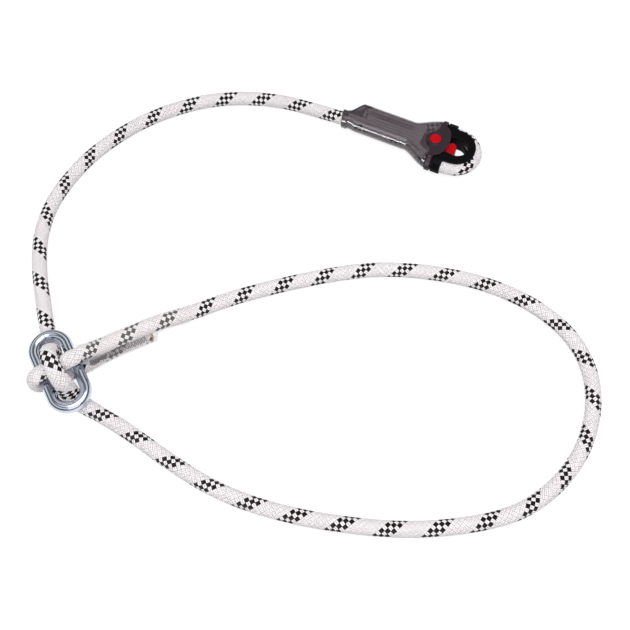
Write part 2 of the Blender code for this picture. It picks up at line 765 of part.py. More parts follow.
def thimble_outline():
    """Core between the strands, ears round them and the round flange, upper half first."""
    nose = []
    for u in np.linspace(COVER_END_U - NOSE_REACH, EAR_START_U - 0.0040, 6):
        slope = (strand_offset(u + 0.0005) - strand_offset(u - 0.0005)) / 0.001
        half = strand_offset(u) - CHANNEL_RADIUS * math.hypot(1.0, slope) - CLEARANCE
        nose.append((float(u), max(0.0010, half)))
    ear_reach = EYE_BEND_RADIUS + STRAND_COVER
    plate_start = EAR_START_U + CLEARANCE
    start = math.degrees(math.acos((EAR_END_U + 0.0026 - FLANGE_CENTRE_U) / FLANGE_RADIUS))
    ears = [(plate_start, EYE_BEND_RADIUS - CHANNEL_RADIUS), (plate_start, ear_reach),
            (EAR_END_U - 0.0010, ear_reach)]
    round_end = arc(FLANGE_CENTRE_U, 0.0, FLANGE_RADIUS, start, 0.0, 14)
    return mirrored(nose + ears + round_end)


def strand_hoop(name, start_u, end_u, side, radius, collection, material=None):
    """Round bar about one strand, between two places along the sewn end."""
    work = bmesh.new()
    bmesh.ops.create_cone(work, cap_ends=True, segments=20, radius1=radius, radius2=radius,
                          depth=end_u - start_u)
    mesh = bpy.data.meshes.new(name)
    work.to_mesh(mesh)
    work.free()
    item = add_object(name, mesh, collection, material)
    middle = (start_u + end_u) / 2
    place = Matrix.Translation((middle, side * strand_offset(middle), 0.0))
    item.matrix_world = end_matrix() @ place @ Matrix.Rotation(math.pi / 2, 4, "Y")
    bevel(item, HOOP_EDGE, segments=1)
    return item


def yoke_outline(margin=0.0):
    """Band across the strands, with the pivot's boss on one side and a bulge on the other."""
    top = EYE_BEND_RADIUS + STRAND_COVER + margin
    left = YOKE_BAND_START_U - margin
    right = YOKE_BAND_END_U + margin
    boss = arc(PIVOT_U, 0.0, BOSS_RADIUS + margin, 180.0, 112.0, 8)
    band = [(left, BOSS_RADIUS + 0.0040), (left, top - 0.0010), (left + 0.0010, top),
            (right - 0.0010, top), (right, top - 0.0010)]
    bulge_reach = YOKE_BULGE_U + margin - right
    bulge = []
    for k in range(8):
        angle = math.radians(90.0 - 90.0 * k / 7)
        bulge.append((right + bulge_reach * math.cos(angle), (YOKE_BULGE_HALF + margin) * math.sin(angle)))
    return mirrored(boss + band + bulge)


def opening_outline():
    """The connector's opening joined to the pocket in which the keeper turns."""
    round_end = arc(OPENING_CENTRE_U, 0.0, OPENING_RADIUS, 90.0, 0.0, 9)
    pocket = arc(PIVOT_U, 0.0, HUB_RADIUS + 0.0011, 180.0, 90.0, 7)
    return mirrored(pocket + round_end)


def carved(item, other, operation, material):
    """The plain mesh left when one solid is cut by another or joined to it."""
    boolean(item, other, operation)
    return bake_to_mesh(item, material)


def build_thimble(channel, collection, cutters, material):
    outline = thimble_outline()
    thimble = flat_solid("thimble", outline, -THIMBLE_FACE, THIMBLE_FACE, collection, material, THIMBLE_EDGE)
    for side, word in ((1.0, "upper"), (-1.0, "lower")):
        hoop = strand_hoop("ear_" + word, EAR_START_U, EAR_END_U, side, CHANNEL_RADIUS + EAR_WALL, cutters)
        thimble = carved(thimble, as_cutter(bake_to_mesh(hoop, None), cutters), "UNION", material)
    opening = flat_solid("thimble_opening", opening_outline(), -THROUGH, THROUGH, cutters)
    thimble = carved(thimble, channel, "DIFFERENCE", material)
    thimble = carved(thimble, as_cutter(opening, cutters), "DIFFERENCE", material)
    seat = yoke_outline(CLEARANCE + 0.0002)
    nose_end = COVER_END_U + CLEARANCE
    nose = rectangle(MOUTH_U, nose_end, 2 * THROUGH)
    steps = (("yoke_seat", seat, THIMBLE_NECK), ("nose_step", nose, NOSE_HALF_THICKNESS))
    for word, shape, level in steps:
        for face, low, high in (("front", level, THROUGH), ("back", -THROUGH, -level)):
            step = flat_solid(f"{word}_{face}", shape, low, high, cutters)
            thimble = carved(thimble, as_cutter(step, cutters), "DIFFERENCE", material)
    shade_by_angle(thimble)
    return thimble


def disc_solid(name, radius, low, high, collection, material, sides=24, round_edges=0.0):
    """Round plate or pin about the pivot's axis."""
    work = bmesh.new()
    bmesh.ops.create_cone(work, cap_ends=True, segments=sides, radius1=radius, radius2=radius,
                          depth=high - low)
    mesh = bpy.data.meshes.new(name)
    work.to_mesh(mesh)
    work.free()
    item = add_object(name, mesh, collection, material)
    place = Matrix.Translation((PIVOT_U, 0.0, (high + low) / 2))
    item.matrix_world = end_matrix() @ place
    if round_edges > 0.0:
        bevel(item, round_edges)
    return item


def build_yoke(name, sign, channel, collection, cutters, material):
    """Half shell that bridges the strands and carries one end of the pivot."""
    inner_edge = CLEARANCE / 2
    low, high = sorted((sign * inner_edge, sign * YOKE_OUTER))
    yoke = flat_solid(name, yoke_outline(), low, high, collection, material, 0.0004)
    for side, word in ((1.0, "upper"), (-1.0, "lower")):
        hoop = strand_hoop(f"{name}_{word}", YOKE_BAND_START_U + 0.0002, YOKE_BAND_END_U - 0.0002, side,
                           YOKE_SIDE_RADIUS, cutters)
        boolean(yoke, as_cutter(bake_to_mesh(hoop, None), cutters), "UNION")
    other = rectangle(SPREAD_START, EYE_CENTRE_U + THROUGH, 2 * THROUGH)
    low, high = sorted((sign * inner_edge, -sign * THROUGH))
    half = as_cutter(flat_solid(name + "_other_half", other, low, high, cutters), cutters)
    boolean(yoke, half, "DIFFERENCE")
    reach = EYE_BEND_RADIUS - 0.0004
    space = rectangle(SPREAD_START, EYE_CENTRE_U + THROUGH, reach)
    low, high = sorted((-sign * 0.001, sign * YOKE_INNER))
    boolean(yoke, as_cutter(flat_solid(name + "_space", space, low, high, cutters), cutters), "DIFFERENCE")
    boolean(yoke, channel, "DIFFERENCE")
    low, high = sorted((sign * (YOKE_INNER + 0.0001), sign * END_Z))
    rim = disc_solid(name + "_rim", DISC_RADIUS + 0.0020, low, high, cutters, None, round_edges=0.0003)
    boolean(yoke, as_cutter(bake_to_mesh(rim, None), cutters), "UNION")
    low, high = sorted((sign * (YOKE_OUTER - 0.0005), sign * (END_Z + 0.001)))
    recess = disc_solid(name + "_recess", DISC_RADIUS + CLEARANCE, low, high, cutters, None)
    boolean(yoke, as_cutter(recess, cutters), "DIFFERENCE")
    low, high = sorted((0.0, sign * (END_Z + 0.001)))
    bore = disc_solid(name + "_bore", PIN_RADIUS + CLEARANCE, low, high, cutters, None)
    boolean(yoke, as_cutter(bore, cutters), "DIFFERENCE")
    result = bake_to_mesh(yoke, material)
    shade_by_angle(result)
    return result


def keeper_outline():
    """Hub, arm and finger of the keeper, which reaches into the opening."""
    hub = arc(PIVOT_U, 0.0, HUB_RADIUS, 70.0, 300.0, 18)
    finger = [
        (0.0078, -0.0066), (0.0148, -0.0073), (0.0170, -0.0064), (0.0181, -0.0035),
        (0.0181, -0.0003), (0.0172, 0.0025), (0.0156, 0.0042), (0.0138, 0.0046),
        (0.0121, 0.0036), (0.0105, 0.0014), (0.0083, 0.0005), (0.0058, 0.0015),
    ]
    return hub + [(PIVOT_U + along, across) for along, across in finger]


def build_keeper(collection, cutters, material):
    """Red keeper and its pivot; their parent empty stands on the pivot's axis."""
    axis = bpy.data.objects.new("keeper_axis", None)
    collection.objects.link(axis)
    axis.matrix_world = end_matrix() @ Matrix.Translation((PIVOT_U, 0.0, 0.0))
    bpy.context.view_layer.update()
    half = KEEPER_HALF_THICKNESS
    lever = flat_solid("keeper_lever", keeper_outline(), -half, half, collection, material, 0.0007)
    bore = disc_solid("keeper_bore", PIN_RADIUS + CLEARANCE, -0.01, 0.01, cutters, None)
    boolean(lever, as_cutter(bore, cutters), "DIFFERENCE")
    lever = bake_to_mesh(lever, material)
    shade_by_angle(lever)
    seat = YOKE_OUTER - 0.0005 + CLEARANCE
    head_top = END_Z
    front = disc_solid("keeper_pivot", DISC_RADIUS, seat, head_top, collection, material, round_edges=0.00035)
    front = bake_to_mesh(front, material)
    shaft_end = -YOKE_INNER + 0.0004
    shaft = disc_solid("pivot_shaft", PIN_RADIUS, shaft_end, seat + 0.0003, cutters, None, sides=16)
    boolean(front, as_cutter(shaft, cutters), "UNION")
    front = bake_to_mesh(front, material)
    shade_by_angle(front)
    back = disc_solid("keeper_pivot_cap", DISC_RADIUS, -head_top, -seat, collection, material,
                      round_edges=0.00035)
    back = bake_to_mesh(back, material)
    stub = disc_solid("cap_stub", PIN_RADIUS, -seat - 0.0003, shaft_end - CLEARANCE, cutters, None, sides=16)
    boolean(back, as_cutter(stub, cutters), "UNION")
    back = bake_to_mesh(back, material)
    shade_by_angle(back)
    for piece in (lever, front, back):
        matrix = piece.matrix_world.copy()
        piece.parent = axis
        piece.matrix_parent_inverse = axis.matrix_world.inverted()
        piece.matrix_world = matrix


def main():
    clear_scene()
    parts = make_collection(COLLECTION_NAME)
    cutters = make_collection("cutters")
    rope = make_material("rope_white_with_black_tracer", (0.82, 0.79, 0.79), 0.75)
    steel = make_material("polished_steel", (0.62, 0.66, 0.70), 0.18, metallic=1.0)
    clear = make_material("clear_shrink_sleeve", (0.86, 0.83, 0.82), 0.30, alpha=0.45)
    thread = make_material("black_thread", (0.03, 0.03, 0.035), 0.60)
    smoky = make_material("smoky_cover", (0.16, 0.13, 0.16), 0.25, alpha=0.60)
    card = make_material("grey_card", (0.27, 0.23, 0.26), 0.50)
    black = make_material("black_plastic", (0.015, 0.014, 0.016), 0.45)
    dark = make_material("dark_translucent_plastic", (0.05, 0.04, 0.05), 0.35)
    red = make_material("red_plastic", (0.62, 0.02, 0.03), 0.35)
    line, run, rows = build_rope(parts, rope)
    build_ring(parts, steel)
    build_sleeve(line, run, rows, parts, clear)
    build_adjuster_stitching(line, run, rows, parts, thread)
    build_cover(parts, cutters, smoky)
    build_label(parts, card)
    build_cover_stitching(parts, thread)
    channel = rope_channel(cutters)
    build_thimble(channel, parts, cutters, black)
    build_yoke("yoke_front", 1.0, channel, parts, cutters, dark)
    build_yoke("yoke_back", -1.0, channel, parts, cutters, dark)
    build_keeper(parts, cutters, red)


main()
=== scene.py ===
# %% [markdown]
# # An adjustable rope lanyard
#
# A lanyard like this is one length of kernmantle rope with two sewn ends. One end turns round a moulded
# thimble, which a connector clips into. The other end is sewn round an oval steel ring, and the rope
# itself runs through that ring, so the ring grips it and slides only when it is freed.
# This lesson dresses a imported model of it: the solids stay where they are, and each one gets a finer
# surface and a finish. Units are metres, +Z is up, and the table is the plane at height zero.

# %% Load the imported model
import math

import bmesh
import bpy
import numpy as np
from mathutils import Matrix, Vector


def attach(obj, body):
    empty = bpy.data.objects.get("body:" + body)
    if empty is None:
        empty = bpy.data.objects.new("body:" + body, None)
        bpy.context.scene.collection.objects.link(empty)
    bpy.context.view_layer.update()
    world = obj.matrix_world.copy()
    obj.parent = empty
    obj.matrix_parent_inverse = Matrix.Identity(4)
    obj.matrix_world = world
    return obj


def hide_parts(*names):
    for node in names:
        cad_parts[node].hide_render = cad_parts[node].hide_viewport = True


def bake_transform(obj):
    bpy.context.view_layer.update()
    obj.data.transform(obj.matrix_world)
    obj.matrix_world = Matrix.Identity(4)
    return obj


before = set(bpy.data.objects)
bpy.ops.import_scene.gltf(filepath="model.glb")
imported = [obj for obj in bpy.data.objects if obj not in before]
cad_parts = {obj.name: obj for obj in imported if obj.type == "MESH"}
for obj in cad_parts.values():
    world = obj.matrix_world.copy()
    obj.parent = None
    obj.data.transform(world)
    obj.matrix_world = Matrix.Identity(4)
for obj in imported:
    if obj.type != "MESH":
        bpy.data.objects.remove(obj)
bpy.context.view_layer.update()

# %% [markdown]
# ## The camera
#
# The camera comes first, because it says which side of every piece matters most. It looks down at the
# table from 64 degrees above the horizon with a mild telephoto lens, so the big loop is hardly narrowed
# by perspective. Its place is worked out from the point it looks at, the distance and that angle.

# %% Camera
CAMERA_LENS_MM = 50.286
CAMERA_SENSOR_MM = 36.0
CAMERA_ELEVATION = math.radians(63.67)
CAMERA_DISTANCE = 0.64265
CAMERA_TARGET = Vector((0.0070, -0.01965, 0.0))

camera_data = bpy.data.cameras.new("camera")
camera_data.lens = CAMERA_LENS_MM
camera_data.sensor_width = CAMERA_SENSOR_MM
camera = bpy.data.objects.new("camera", camera_data)
bpy.context.scene.collection.objects.link(camera)
back = Vector((0.0, -math.cos(CAMERA_ELEVATION), math.sin(CAMERA_ELEVATION)))
camera.location = CAMERA_TARGET + back * CAMERA_DISTANCE
camera.rotation_euler = (math.pi / 2 - CAMERA_ELEVATION, 0.0, 0.0)
bpy.context.scene.camera = camera
bpy.context.scene.view_settings.view_transform = "Standard"
print("camera at", [round(value, 3) for value in camera.location])

# %% [markdown]
# ## Helpers for node trees
#
# Shader trees and geometry trees are both made of nodes and links. Written out by hand each node would
# take three lines, so one helper adds a node and feeds its inputs. What it gives back can be added,
# multiplied and compared like a number, and each of those adds a Math node. The Math node is the same
# in both kinds of tree, which is used for the braid further down.

# %% Node helpers
class Value:
    """A node's output. A formula written with it adds Math nodes to its tree."""

    def __init__(self, tree, socket):
        self.tree = tree
        self.socket = socket

    def output(self, name):
        """Another output of the same node."""
        return Value(self.tree, self.socket.node.outputs[name])

    def math(self, operation, *others):
        """A Math node whose first input is this value."""
        return put(self.tree, "ShaderNodeMath", [self, *others], operation=operation)

    def __add__(self, other):
        return self.math("ADD", other)

    def __sub__(self, other):
        return self.math("SUBTRACT", other)

    def __rsub__(self, other):
        return put(self.tree, "ShaderNodeMath", [other, self], operation="SUBTRACT")

    def __mul__(self, other):
        return self.math("MULTIPLY", other)

    def __truediv__(self, other):
        return self.math("DIVIDE", other)

    def __rtruediv__(self, other):
        return put(self.tree, "ShaderNodeMath", [other, self], operation="DIVIDE")

    def __mod__(self, other):
        return self.math("FLOORED_MODULO", other)

    def __lt__(self, other):
        return self.math("LESS_THAN", other)

    def __abs__(self):
        return self.math("ABSOLUTE")


def feed(tree, socket, value):
    """Join a socket to a node's output, or give it a plain value."""
    if isinstance(value, Value):
        tree.links.new(value.socket, socket)
    else:
        socket.default_value = value


def put(tree, kind, values=(), output=0, **settings):
    """Add a node, feed its inputs by place from a list or by name from a dictionary, give an output."""
    node = tree.nodes.new(kind)
    for name, setting in settings.items():
        setattr(node, name, setting)
    for key, value in values.items() if isinstance(values, dict) else enumerate(values):
        feed(tree, node.inputs[key], value)
    return Value(tree, node.outputs[output])


def mix(tree, factor, first, second):
    """Blend two colours; the Mix node keeps its colour sockets at places 6 and 7."""
    return put(tree, "ShaderNodeMix", {0: factor, 6: first, 7: second}, 2, data_type="RGBA")


def ramp(value, low, high):
    """0 below low, 1 above high and a smooth step between them."""
    return put(value.tree, "ShaderNodeMapRange", {"Value": value, "From Min": low, "From Max": high},
               interpolation_type="SMOOTHSTEP")


def length(arrow):
    """How long an arrow is."""
    return put(arrow.tree, "ShaderNodeVectorMath", [arrow], "Value", operation="LENGTH")


def new_group(kind, name, inputs, outputs):
    """A node group; each input is named with its default value, or with its type if it has none."""
    tree = bpy.data.node_groups.new(name, kind)
    types = {float: "Float", int: "Int", tuple: "Color"}
    for label, given in inputs.items():
        kind_of = given if isinstance(given, str) else types[type(given)]
        socket = tree.interface.new_socket(label, in_out="INPUT", socket_type="NodeSocket" + kind_of)
        if not isinstance(given, str):
            socket.default_value = given
    for label, kind_of in outputs.items():
        tree.interface.new_socket(label, in_out="OUTPUT", socket_type="NodeSocket" + kind_of)
    source = tree.nodes.new("NodeGroupInput")
    entry = {label: Value(tree, source.outputs[label]) for label in inputs}
    return tree, entry, tree.nodes.new("NodeGroupOutput").inputs


def hand_out(tree, leave, geometry, material):
    """End a Geometry Nodes tree with real geometry in its material."""
    real = put(tree, "GeometryNodeRealizeInstances", [geometry])
    dressed = put(tree, "GeometryNodeSetMaterial", {"Geometry": real, "Material": material})
    feed(tree, leave["Geometry"], dressed)


def rgb(red, green, blue):
    """A colour as a screen shows it, from 0 to 255, turned into the linear one that shaders use."""
    parts = [part / 255.0 for part in (red, green, blue)]
    return tuple(p / 12.92 if p <= 0.04045 else ((p + 0.055) / 1.055) ** 2.4 for p in parts) + (1.0,)


print("a warm white in linear light:", [round(part, 3) for part in rgb(235, 228, 230)])

# %% [markdown]
# Each finished piece is an object at the origin whose mesh holds world coordinates, as the imported pieces
# are. These helpers place an object, keep numbers on its points for a tree to read, turn what its
# modifiers make into a plain mesh, and hide the imported solid it replaces and attach it to what carries
# it.


# %% Mesh and object helpers
def place_object(name, data):
    """A new object in the scene, at the origin, so its mesh holds world coordinates."""
    item = bpy.data.objects.new(name, data)
    bpy.context.scene.collection.objects.link(item)
    return item


def store(mesh, label, values, kind="FLOAT"):
    """Keep a number, or an arrow, for each point of a mesh."""
    attribute = mesh.attributes.new(label, kind, "POINT")
    field = "value" if kind == "FLOAT" else "vector"
    attribute.data.foreach_set(field, np.asarray(values, dtype=np.float32).ravel())


def made_mesh(item):
    """The plain mesh that an object's modifiers, or its curve, make."""
    bpy.context.view_layer.update()
    return bpy.data.meshes.new_from_object(item.evaluated_get(bpy.context.evaluated_depsgraph_get()))


def settle(item, tree, values):
    """Run a Geometry Nodes tree on an object with named inputs, and keep the plain mesh it makes."""
    modifier = item.modifiers.new(tree.name, "NODES")
    modifier.node_group = tree
    for socket in tree.interface.items_tree:
        if socket.in_out == "INPUT" and socket.name in values:
            modifier[socket.identifier] = values[socket.name]
    mesh = made_mesh(item)
    item.modifiers.remove(modifier)
    item.data = mesh
    mesh.name = item.name
    return item


def declare(piece, node, body):
    """Hide the imported solid that a piece stands for and attach the piece to the body that carries it."""
    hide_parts(node)
    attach(piece, body)
    print(piece.name, len(piece.data.polygons), "faces")


def eased(share):
    """A smooth step from 0 to 1."""
    share = min(1.0, max(0.0, share))
    return share * share * (3.0 - 2.0 * share)


def unit(rows):
    """Each row as an arrow of length one."""
    return rows / np.linalg.norm(rows, axis=1)[:, None]


def read_rows(places, known, rows):
    """Rows that are known at some distances along the rope, read at other ones."""
    return np.stack([np.interp(places, known, column) for column in rows.T], axis=1)


print("halfway through a smooth step:", eased(0.5))

# %% [markdown]
# ## Studio light and floor
#
# The object lies on white paper under soft light, with hardly any shadow. An even world gives the soft
# fill, and area lights give shape. Polished steel shows what is round it, so for glossy rays the world
# has bands: a pale horizon, a dark band, a bright sky and a dark halo about its top. They draw the thin
# pale and dark lines along the ring's bar, and stand a little higher on the right.

# %% World
WHITE = (1.0, 1.0, 1.0, 1.0)
HORIZON_PALE = 0.62
HORIZON_ENDS = (0.05, 0.26)
BAND_DARK = 0.03
ZENITH_BRIGHT = 0.84
ZENITH_STARTS = (0.42, 0.66)
HALO_STARTS = (0.83, 0.87)
HALO_ENDS = (0.93, 0.96)
HALO_DARK = 0.90
SIDE_LEAN = -0.10
FILL_LOW = 0.60
FILL_HIGH = 0.70
FILL_FULL_AT = 0.9

world = bpy.data.worlds.new("studio")
bpy.context.scene.world = world
world.use_nodes = True
sky = world.node_tree
direction = put(sky, "ShaderNodeTexCoord", output="Generated")
sideward = put(sky, "ShaderNodeSeparateXYZ", [direction])
upward = sideward.output("Z")
leaning = sideward * SIDE_LEAN + upward
halo = ramp(leaning, *HALO_STARTS) - ramp(leaning, *HALO_ENDS)
above_band = ramp(leaning, *ZENITH_STARTS) * ZENITH_BRIGHT * (1.0 - halo * HALO_DARK)
below_band = (1.0 - ramp(leaning, *HORIZON_ENDS)) * HORIZON_PALE
reflected = (above_band + below_band).math("MAXIMUM", BAND_DARK)
fill = ramp(upward, 0.0, FILL_FULL_AT) * (FILL_HIGH - FILL_LOW) + FILL_LOW
rays = put(sky, "ShaderNodeLightPath")
level = mix(sky, rays.output("Is Glossy Ray"), fill, reflected)
level = mix(sky, rays.output("Is Camera Ray"), level, WHITE)
feed(sky, sky.nodes["Background"].inputs["Color"], level)
print("world nodes:", len(sky.nodes))

# %% [markdown]
# A softbox above the middle of the object gives most of the shape. A fill from the front lights the
# rope's lower sides. The low strip exists only to draw the long highlight on the cover, so diffuse rays
# and the camera don't see it, and light linking keeps it off the ring and the thimble.


# %% Area lights
def soft_light(name, place, aim, size, power):
    """A rectangular area light at a place, turned to face the point it aims at."""
    data = bpy.data.lights.new(name, "AREA")
    data.shape = "RECTANGLE"
    data.size, data.size_y = size
    data.energy = power
    item = place_object(name, data)
    item.location = place
    item.rotation_euler = (Vector(aim) - Vector(place)).to_track_quat("-Z", "Y").to_euler()
    return item


soft_light("overhead_softbox", (0.02, -0.13, 0.70), (0.0, 0.0, 0.0), (0.62, 0.50), 2.6)
strip = soft_light("low_strip", (-0.50, -0.63, 0.30), (0.07, 0.14, 0.01), (0.95, 0.30), 12.0)
strip.visible_diffuse = False
strip.visible_camera = False
not_striped = bpy.data.collections.new("pieces_without_strip")
strip.light_linking.receiver_collection = not_striped


def keep_strip_off(piece):
    """Leave a piece out of the strip's light, where its highlight would be too hard."""
    not_striped.objects.link(piece)
    not_striped.collection_objects[-1].light_linking.link_state = "EXCLUDE"


soft_light("front_fill", (0.25, -1.15, 0.80), (0.0, 0.0, 0.0), (1.1, 0.5), 2.0)

# %% [markdown]
# The floor is a plain pale sheet. Paper that renders as pure white would need so much light that the
# rope clips too, so the floor adds a little light of its own, and only where a ray from the camera, or
# one that steel or clear plastic passes on, meets it. Its diffuse part still takes the soft shadow.
# What the steel mirrors of that light fades with the distance, so the ring isn't lit evenly from below.

# %% Floor
FLOOR_HALF = 1.6
FLOOR_DROP = 0.0002
FLOOR_GLOW = 0.84
GLOW_NEAR = 0.12
GLOW_FAR = 1.40
PAPER_GREY = (0.50, 0.50, 0.50, 1.0)
PAPER_UNDER_GLOW = (0.26, 0.26, 0.26, 1.0)

bpy.ops.mesh.primitive_plane_add(size=2 * FLOOR_HALF, location=(0.0, 0.0, -FLOOR_DROP))
floor = bpy.context.active_object
floor.name = "studio_floor"
paper = bpy.data.materials.new("white_paper")
paper.use_nodes = True
sheet = paper.node_tree
sheet.nodes.remove(sheet.nodes["Principled BSDF"])
seen = put(sheet, "ShaderNodeLightPath")
glossy = seen.output("Is Glossy Ray")
direct = seen.output("Is Camera Ray").math("MAXIMUM", glossy)
direct = direct.math("MAXIMUM", seen.output("Is Transmission Ray"))
pale = put(sheet, "ShaderNodeBsdfDiffuse", {"Color": PAPER_GREY})
soft = put(sheet, "ShaderNodeBsdfDiffuse", {"Color": PAPER_UNDER_GLOW})
where = put(sheet, "ShaderNodeTexCoord", output="Object")
mirrored_glow = (1.0 - ramp(length(where), GLOW_NEAR, GLOW_FAR)) * FLOOR_GLOW
strength = put(sheet, "ShaderNodeMix", {0: glossy, 2: FLOOR_GLOW, 3: mirrored_glow})
glow = put(sheet, "ShaderNodeEmission", {"Strength": strength})
lit = put(sheet, "ShaderNodeAddShader", [soft, glow])
surface = put(sheet, "ShaderNodeMixShader", [direct, pale, lit])
feed(sheet, sheet.nodes["Material Output"].inputs["Surface"], surface)
floor.data.materials.append(paper)
print("floor side in m:", 2 * FLOOR_HALF)

# %% [markdown]
# ## Where the rope runs
#
# The rope is one piece, 1.70 m long, so one smooth line carries it from its tail at the thimble to its
# tail at the ring. On the table it follows listed points; at the thimble and the ring
# its points come from the sizes of what it goes round. All of them are the imported model's own points,
# in the same order. A natural cubic spline joins them, since a rope bends evenly and has no corners.

# %% Sizes shared with the imported model
ROPE_DIAMETER = 0.011
CLEARANCE = 0.0003
RING_WIRE = 0.008
RING_LENGTH = 0.066
RING_WIDTH = 0.031
RING_X = -0.1689
RING_Y = -0.0700
RING_TURN = math.radians(28.0)
EYE_DIP = 0.0022
SLEEVE_WALL = 0.0006
SLEEVE_CLEARANCE = 0.0004
END_X = 0.0331
END_Y = 0.1589
END_Z = 0.0083
END_TURN = math.radians(-24.6)
MOUTH_U = -0.0015
MOUTH_DROP = 0.0003
TAIL_U = 0.0130
COVER_END_U = 0.0750
SPREAD_START = COVER_END_U - 0.0230
SPREAD_END = COVER_END_U + 0.0050
EYE_BEND_RADIUS = 0.0166
EYE_CENTRE_U = COVER_END_U + 0.0155
EYE_SLACK = 0.0020
PIVOT_U = EYE_CENTRE_U - 0.0148

ROPE_RADIUS = ROPE_DIAMETER / 2
STRAND_PITCH = ROPE_DIAMETER + CLEARANCE
HALF_STRANDS = STRAND_PITCH / 2
RING_Z = STRAND_PITCH + RING_WIRE / 2
BAR_OFFSET = (RING_WIDTH - RING_WIRE) / 2
END_BAR_OFFSET = (RING_LENGTH - RING_WIRE) / 2
WRAP_RADIUS = RING_WIRE / 2 + CLEARANCE + ROPE_RADIUS
STRAND_TOP_Z = RING_Z + WRAP_RADIUS
BIGHT_TOP_Z = STRAND_TOP_Z - EYE_DIP + STRAND_PITCH + CLEARANCE
SLEEVED_Z = ROPE_RADIUS + SLEEVE_CLEARANCE + SLEEVE_WALL
print("ring bar lies at a height of", round(1000 * RING_Z, 1), "mm")

# %% The free rope's points on the table
LEG_POINTS = [
    (0.0172, 0.1598), (-0.0045, 0.1682), (-0.0272, 0.1745), (-0.0504, 0.1765),
    (-0.0737, 0.1751), (-0.0962, 0.1695), (-0.1178, 0.1606), (-0.1380, 0.1485),
    (-0.1560, 0.1337), (-0.1718, 0.1168), (-0.1847, 0.0973), (-0.1945, 0.0762),
    (-0.1996, 0.0535), (-0.1995, 0.0302), (-0.1957, 0.0072), (-0.1900, -0.0155),
]
LEG_LIFT_SHARES = [0.45, 0.225]
LOOP_POINTS = [
    (-0.1263, -0.1066), (-0.1028, -0.1227), (-0.0791, -0.1387), (-0.0540, -0.1525),
    (-0.0273, -0.1624), (0.0003, -0.1694), (0.0285, -0.1739), (0.0570, -0.1765),
    (0.0855, -0.1761), (0.1140, -0.1725), (0.1412, -0.1645), (0.1650, -0.1490),
    (0.1839, -0.1276), (0.1960, -0.1018), (0.1999, -0.0737), (0.1931, -0.0462),
    (0.1760, -0.0236), (0.1530, -0.0069), (0.1268, 0.0046), (0.0991, 0.0115),
    (0.0707, 0.0149), (0.0422, 0.0143), (0.0140, 0.0096), (-0.0138, 0.0031),
    (-0.0375, -0.0036),
]
LOOP_RISE_POINTS = [(-0.0514, -0.0081, 0.0001), (-0.0649, -0.0138, 0.0011), (-0.0780, -0.0202, 0.0030)]
SLEEVE_FAR_POINTS = [
    (-0.0841, -0.0236, 0.0050), (-0.0894, -0.0268, 0.0070), (-0.0953, -0.0299, 0.0090),
    (-0.1005, -0.0325, 0.0107), (-0.1058, -0.0353, 0.0118),
]
LEG_SPLIT = 3
SEAM_POINTS = [
    (-0.1545, -0.0622), (-0.1488, -0.0583), (-0.1425, -0.0543), (-0.1353, -0.0502),
    (-0.1276, -0.0463), (-0.1199, -0.0427), (-0.1134, -0.0396), (-0.1090, -0.0376),
]
SEAM_LEAN = math.radians(87.0)
SEAM_SPREAD = [0.0062, 0.0034, 0.0010, 0.0, 0.0, 0.0, 0.0, 0.0]
print("points on the table:", len(LEG_POINTS) + len(LOOP_POINTS))


# %% Places in the ring's and the sewn end's own frames
def ring_place(along, across, height):
    """A world point from distances along and across the ring, at a height over the table."""
    x = RING_X - along * math.sin(RING_TURN) + across * math.cos(RING_TURN)
    y = RING_Y + along * math.cos(RING_TURN) + across * math.sin(RING_TURN)
    return Vector((x, y, height))


END_FRAME = Matrix.Translation((END_X, END_Y, END_Z)) @ Matrix.Rotation(END_TURN, 4, "Z")


def strand_offset(u):
    """Half the distance between the two strands at a place along the sewn end."""
    spread = eased((u - SPREAD_START) / (SPREAD_END - SPREAD_START))
    return HALF_STRANDS + (EYE_BEND_RADIUS - HALF_STRANDS) * spread


def end_rope_points():
    """Tail, turn round the thimble and standing part, from the tail's tip to the cover's mouth."""
    side = [*np.linspace(TAIL_U, SPREAD_START, 5), *np.linspace(SPREAD_START, EYE_CENTRE_U, 11)[1:]]
    points = [(u, strand_offset(u)) for u in side]
    for k in range(1, 12):
        angle = math.pi / 2 - math.pi * k / 12
        points.append((EYE_CENTRE_U + (EYE_BEND_RADIUS + EYE_SLACK) * math.cos(angle),
                       EYE_BEND_RADIUS * math.sin(angle)))
    points += [(u, -strand_offset(u)) for u in reversed(side[1:])]
    points += [(TAIL_U * 0.5, -HALF_STRANDS), (MOUTH_U, -HALF_STRANDS - MOUTH_DROP)]
    return [END_FRAME @ Vector((u, v, 0.0)) for u, v in points]


print("sewn end starts at", [round(value, 4) for value in END_FRAME.translation])

# %% [markdown]
# At the ring the rope makes a hitch with its own sewn eye. The bight comes along the table, goes up
# through the ring, over the sewn eye and down again. The sewn eye comes down the sleeve, dips over the
# ring's waist, turns round one bar and goes back below as the tail.

# %% The hitch at the ring
BIGHT_SLACK = 0.0014
BIGHT_SWAY = 0.0012


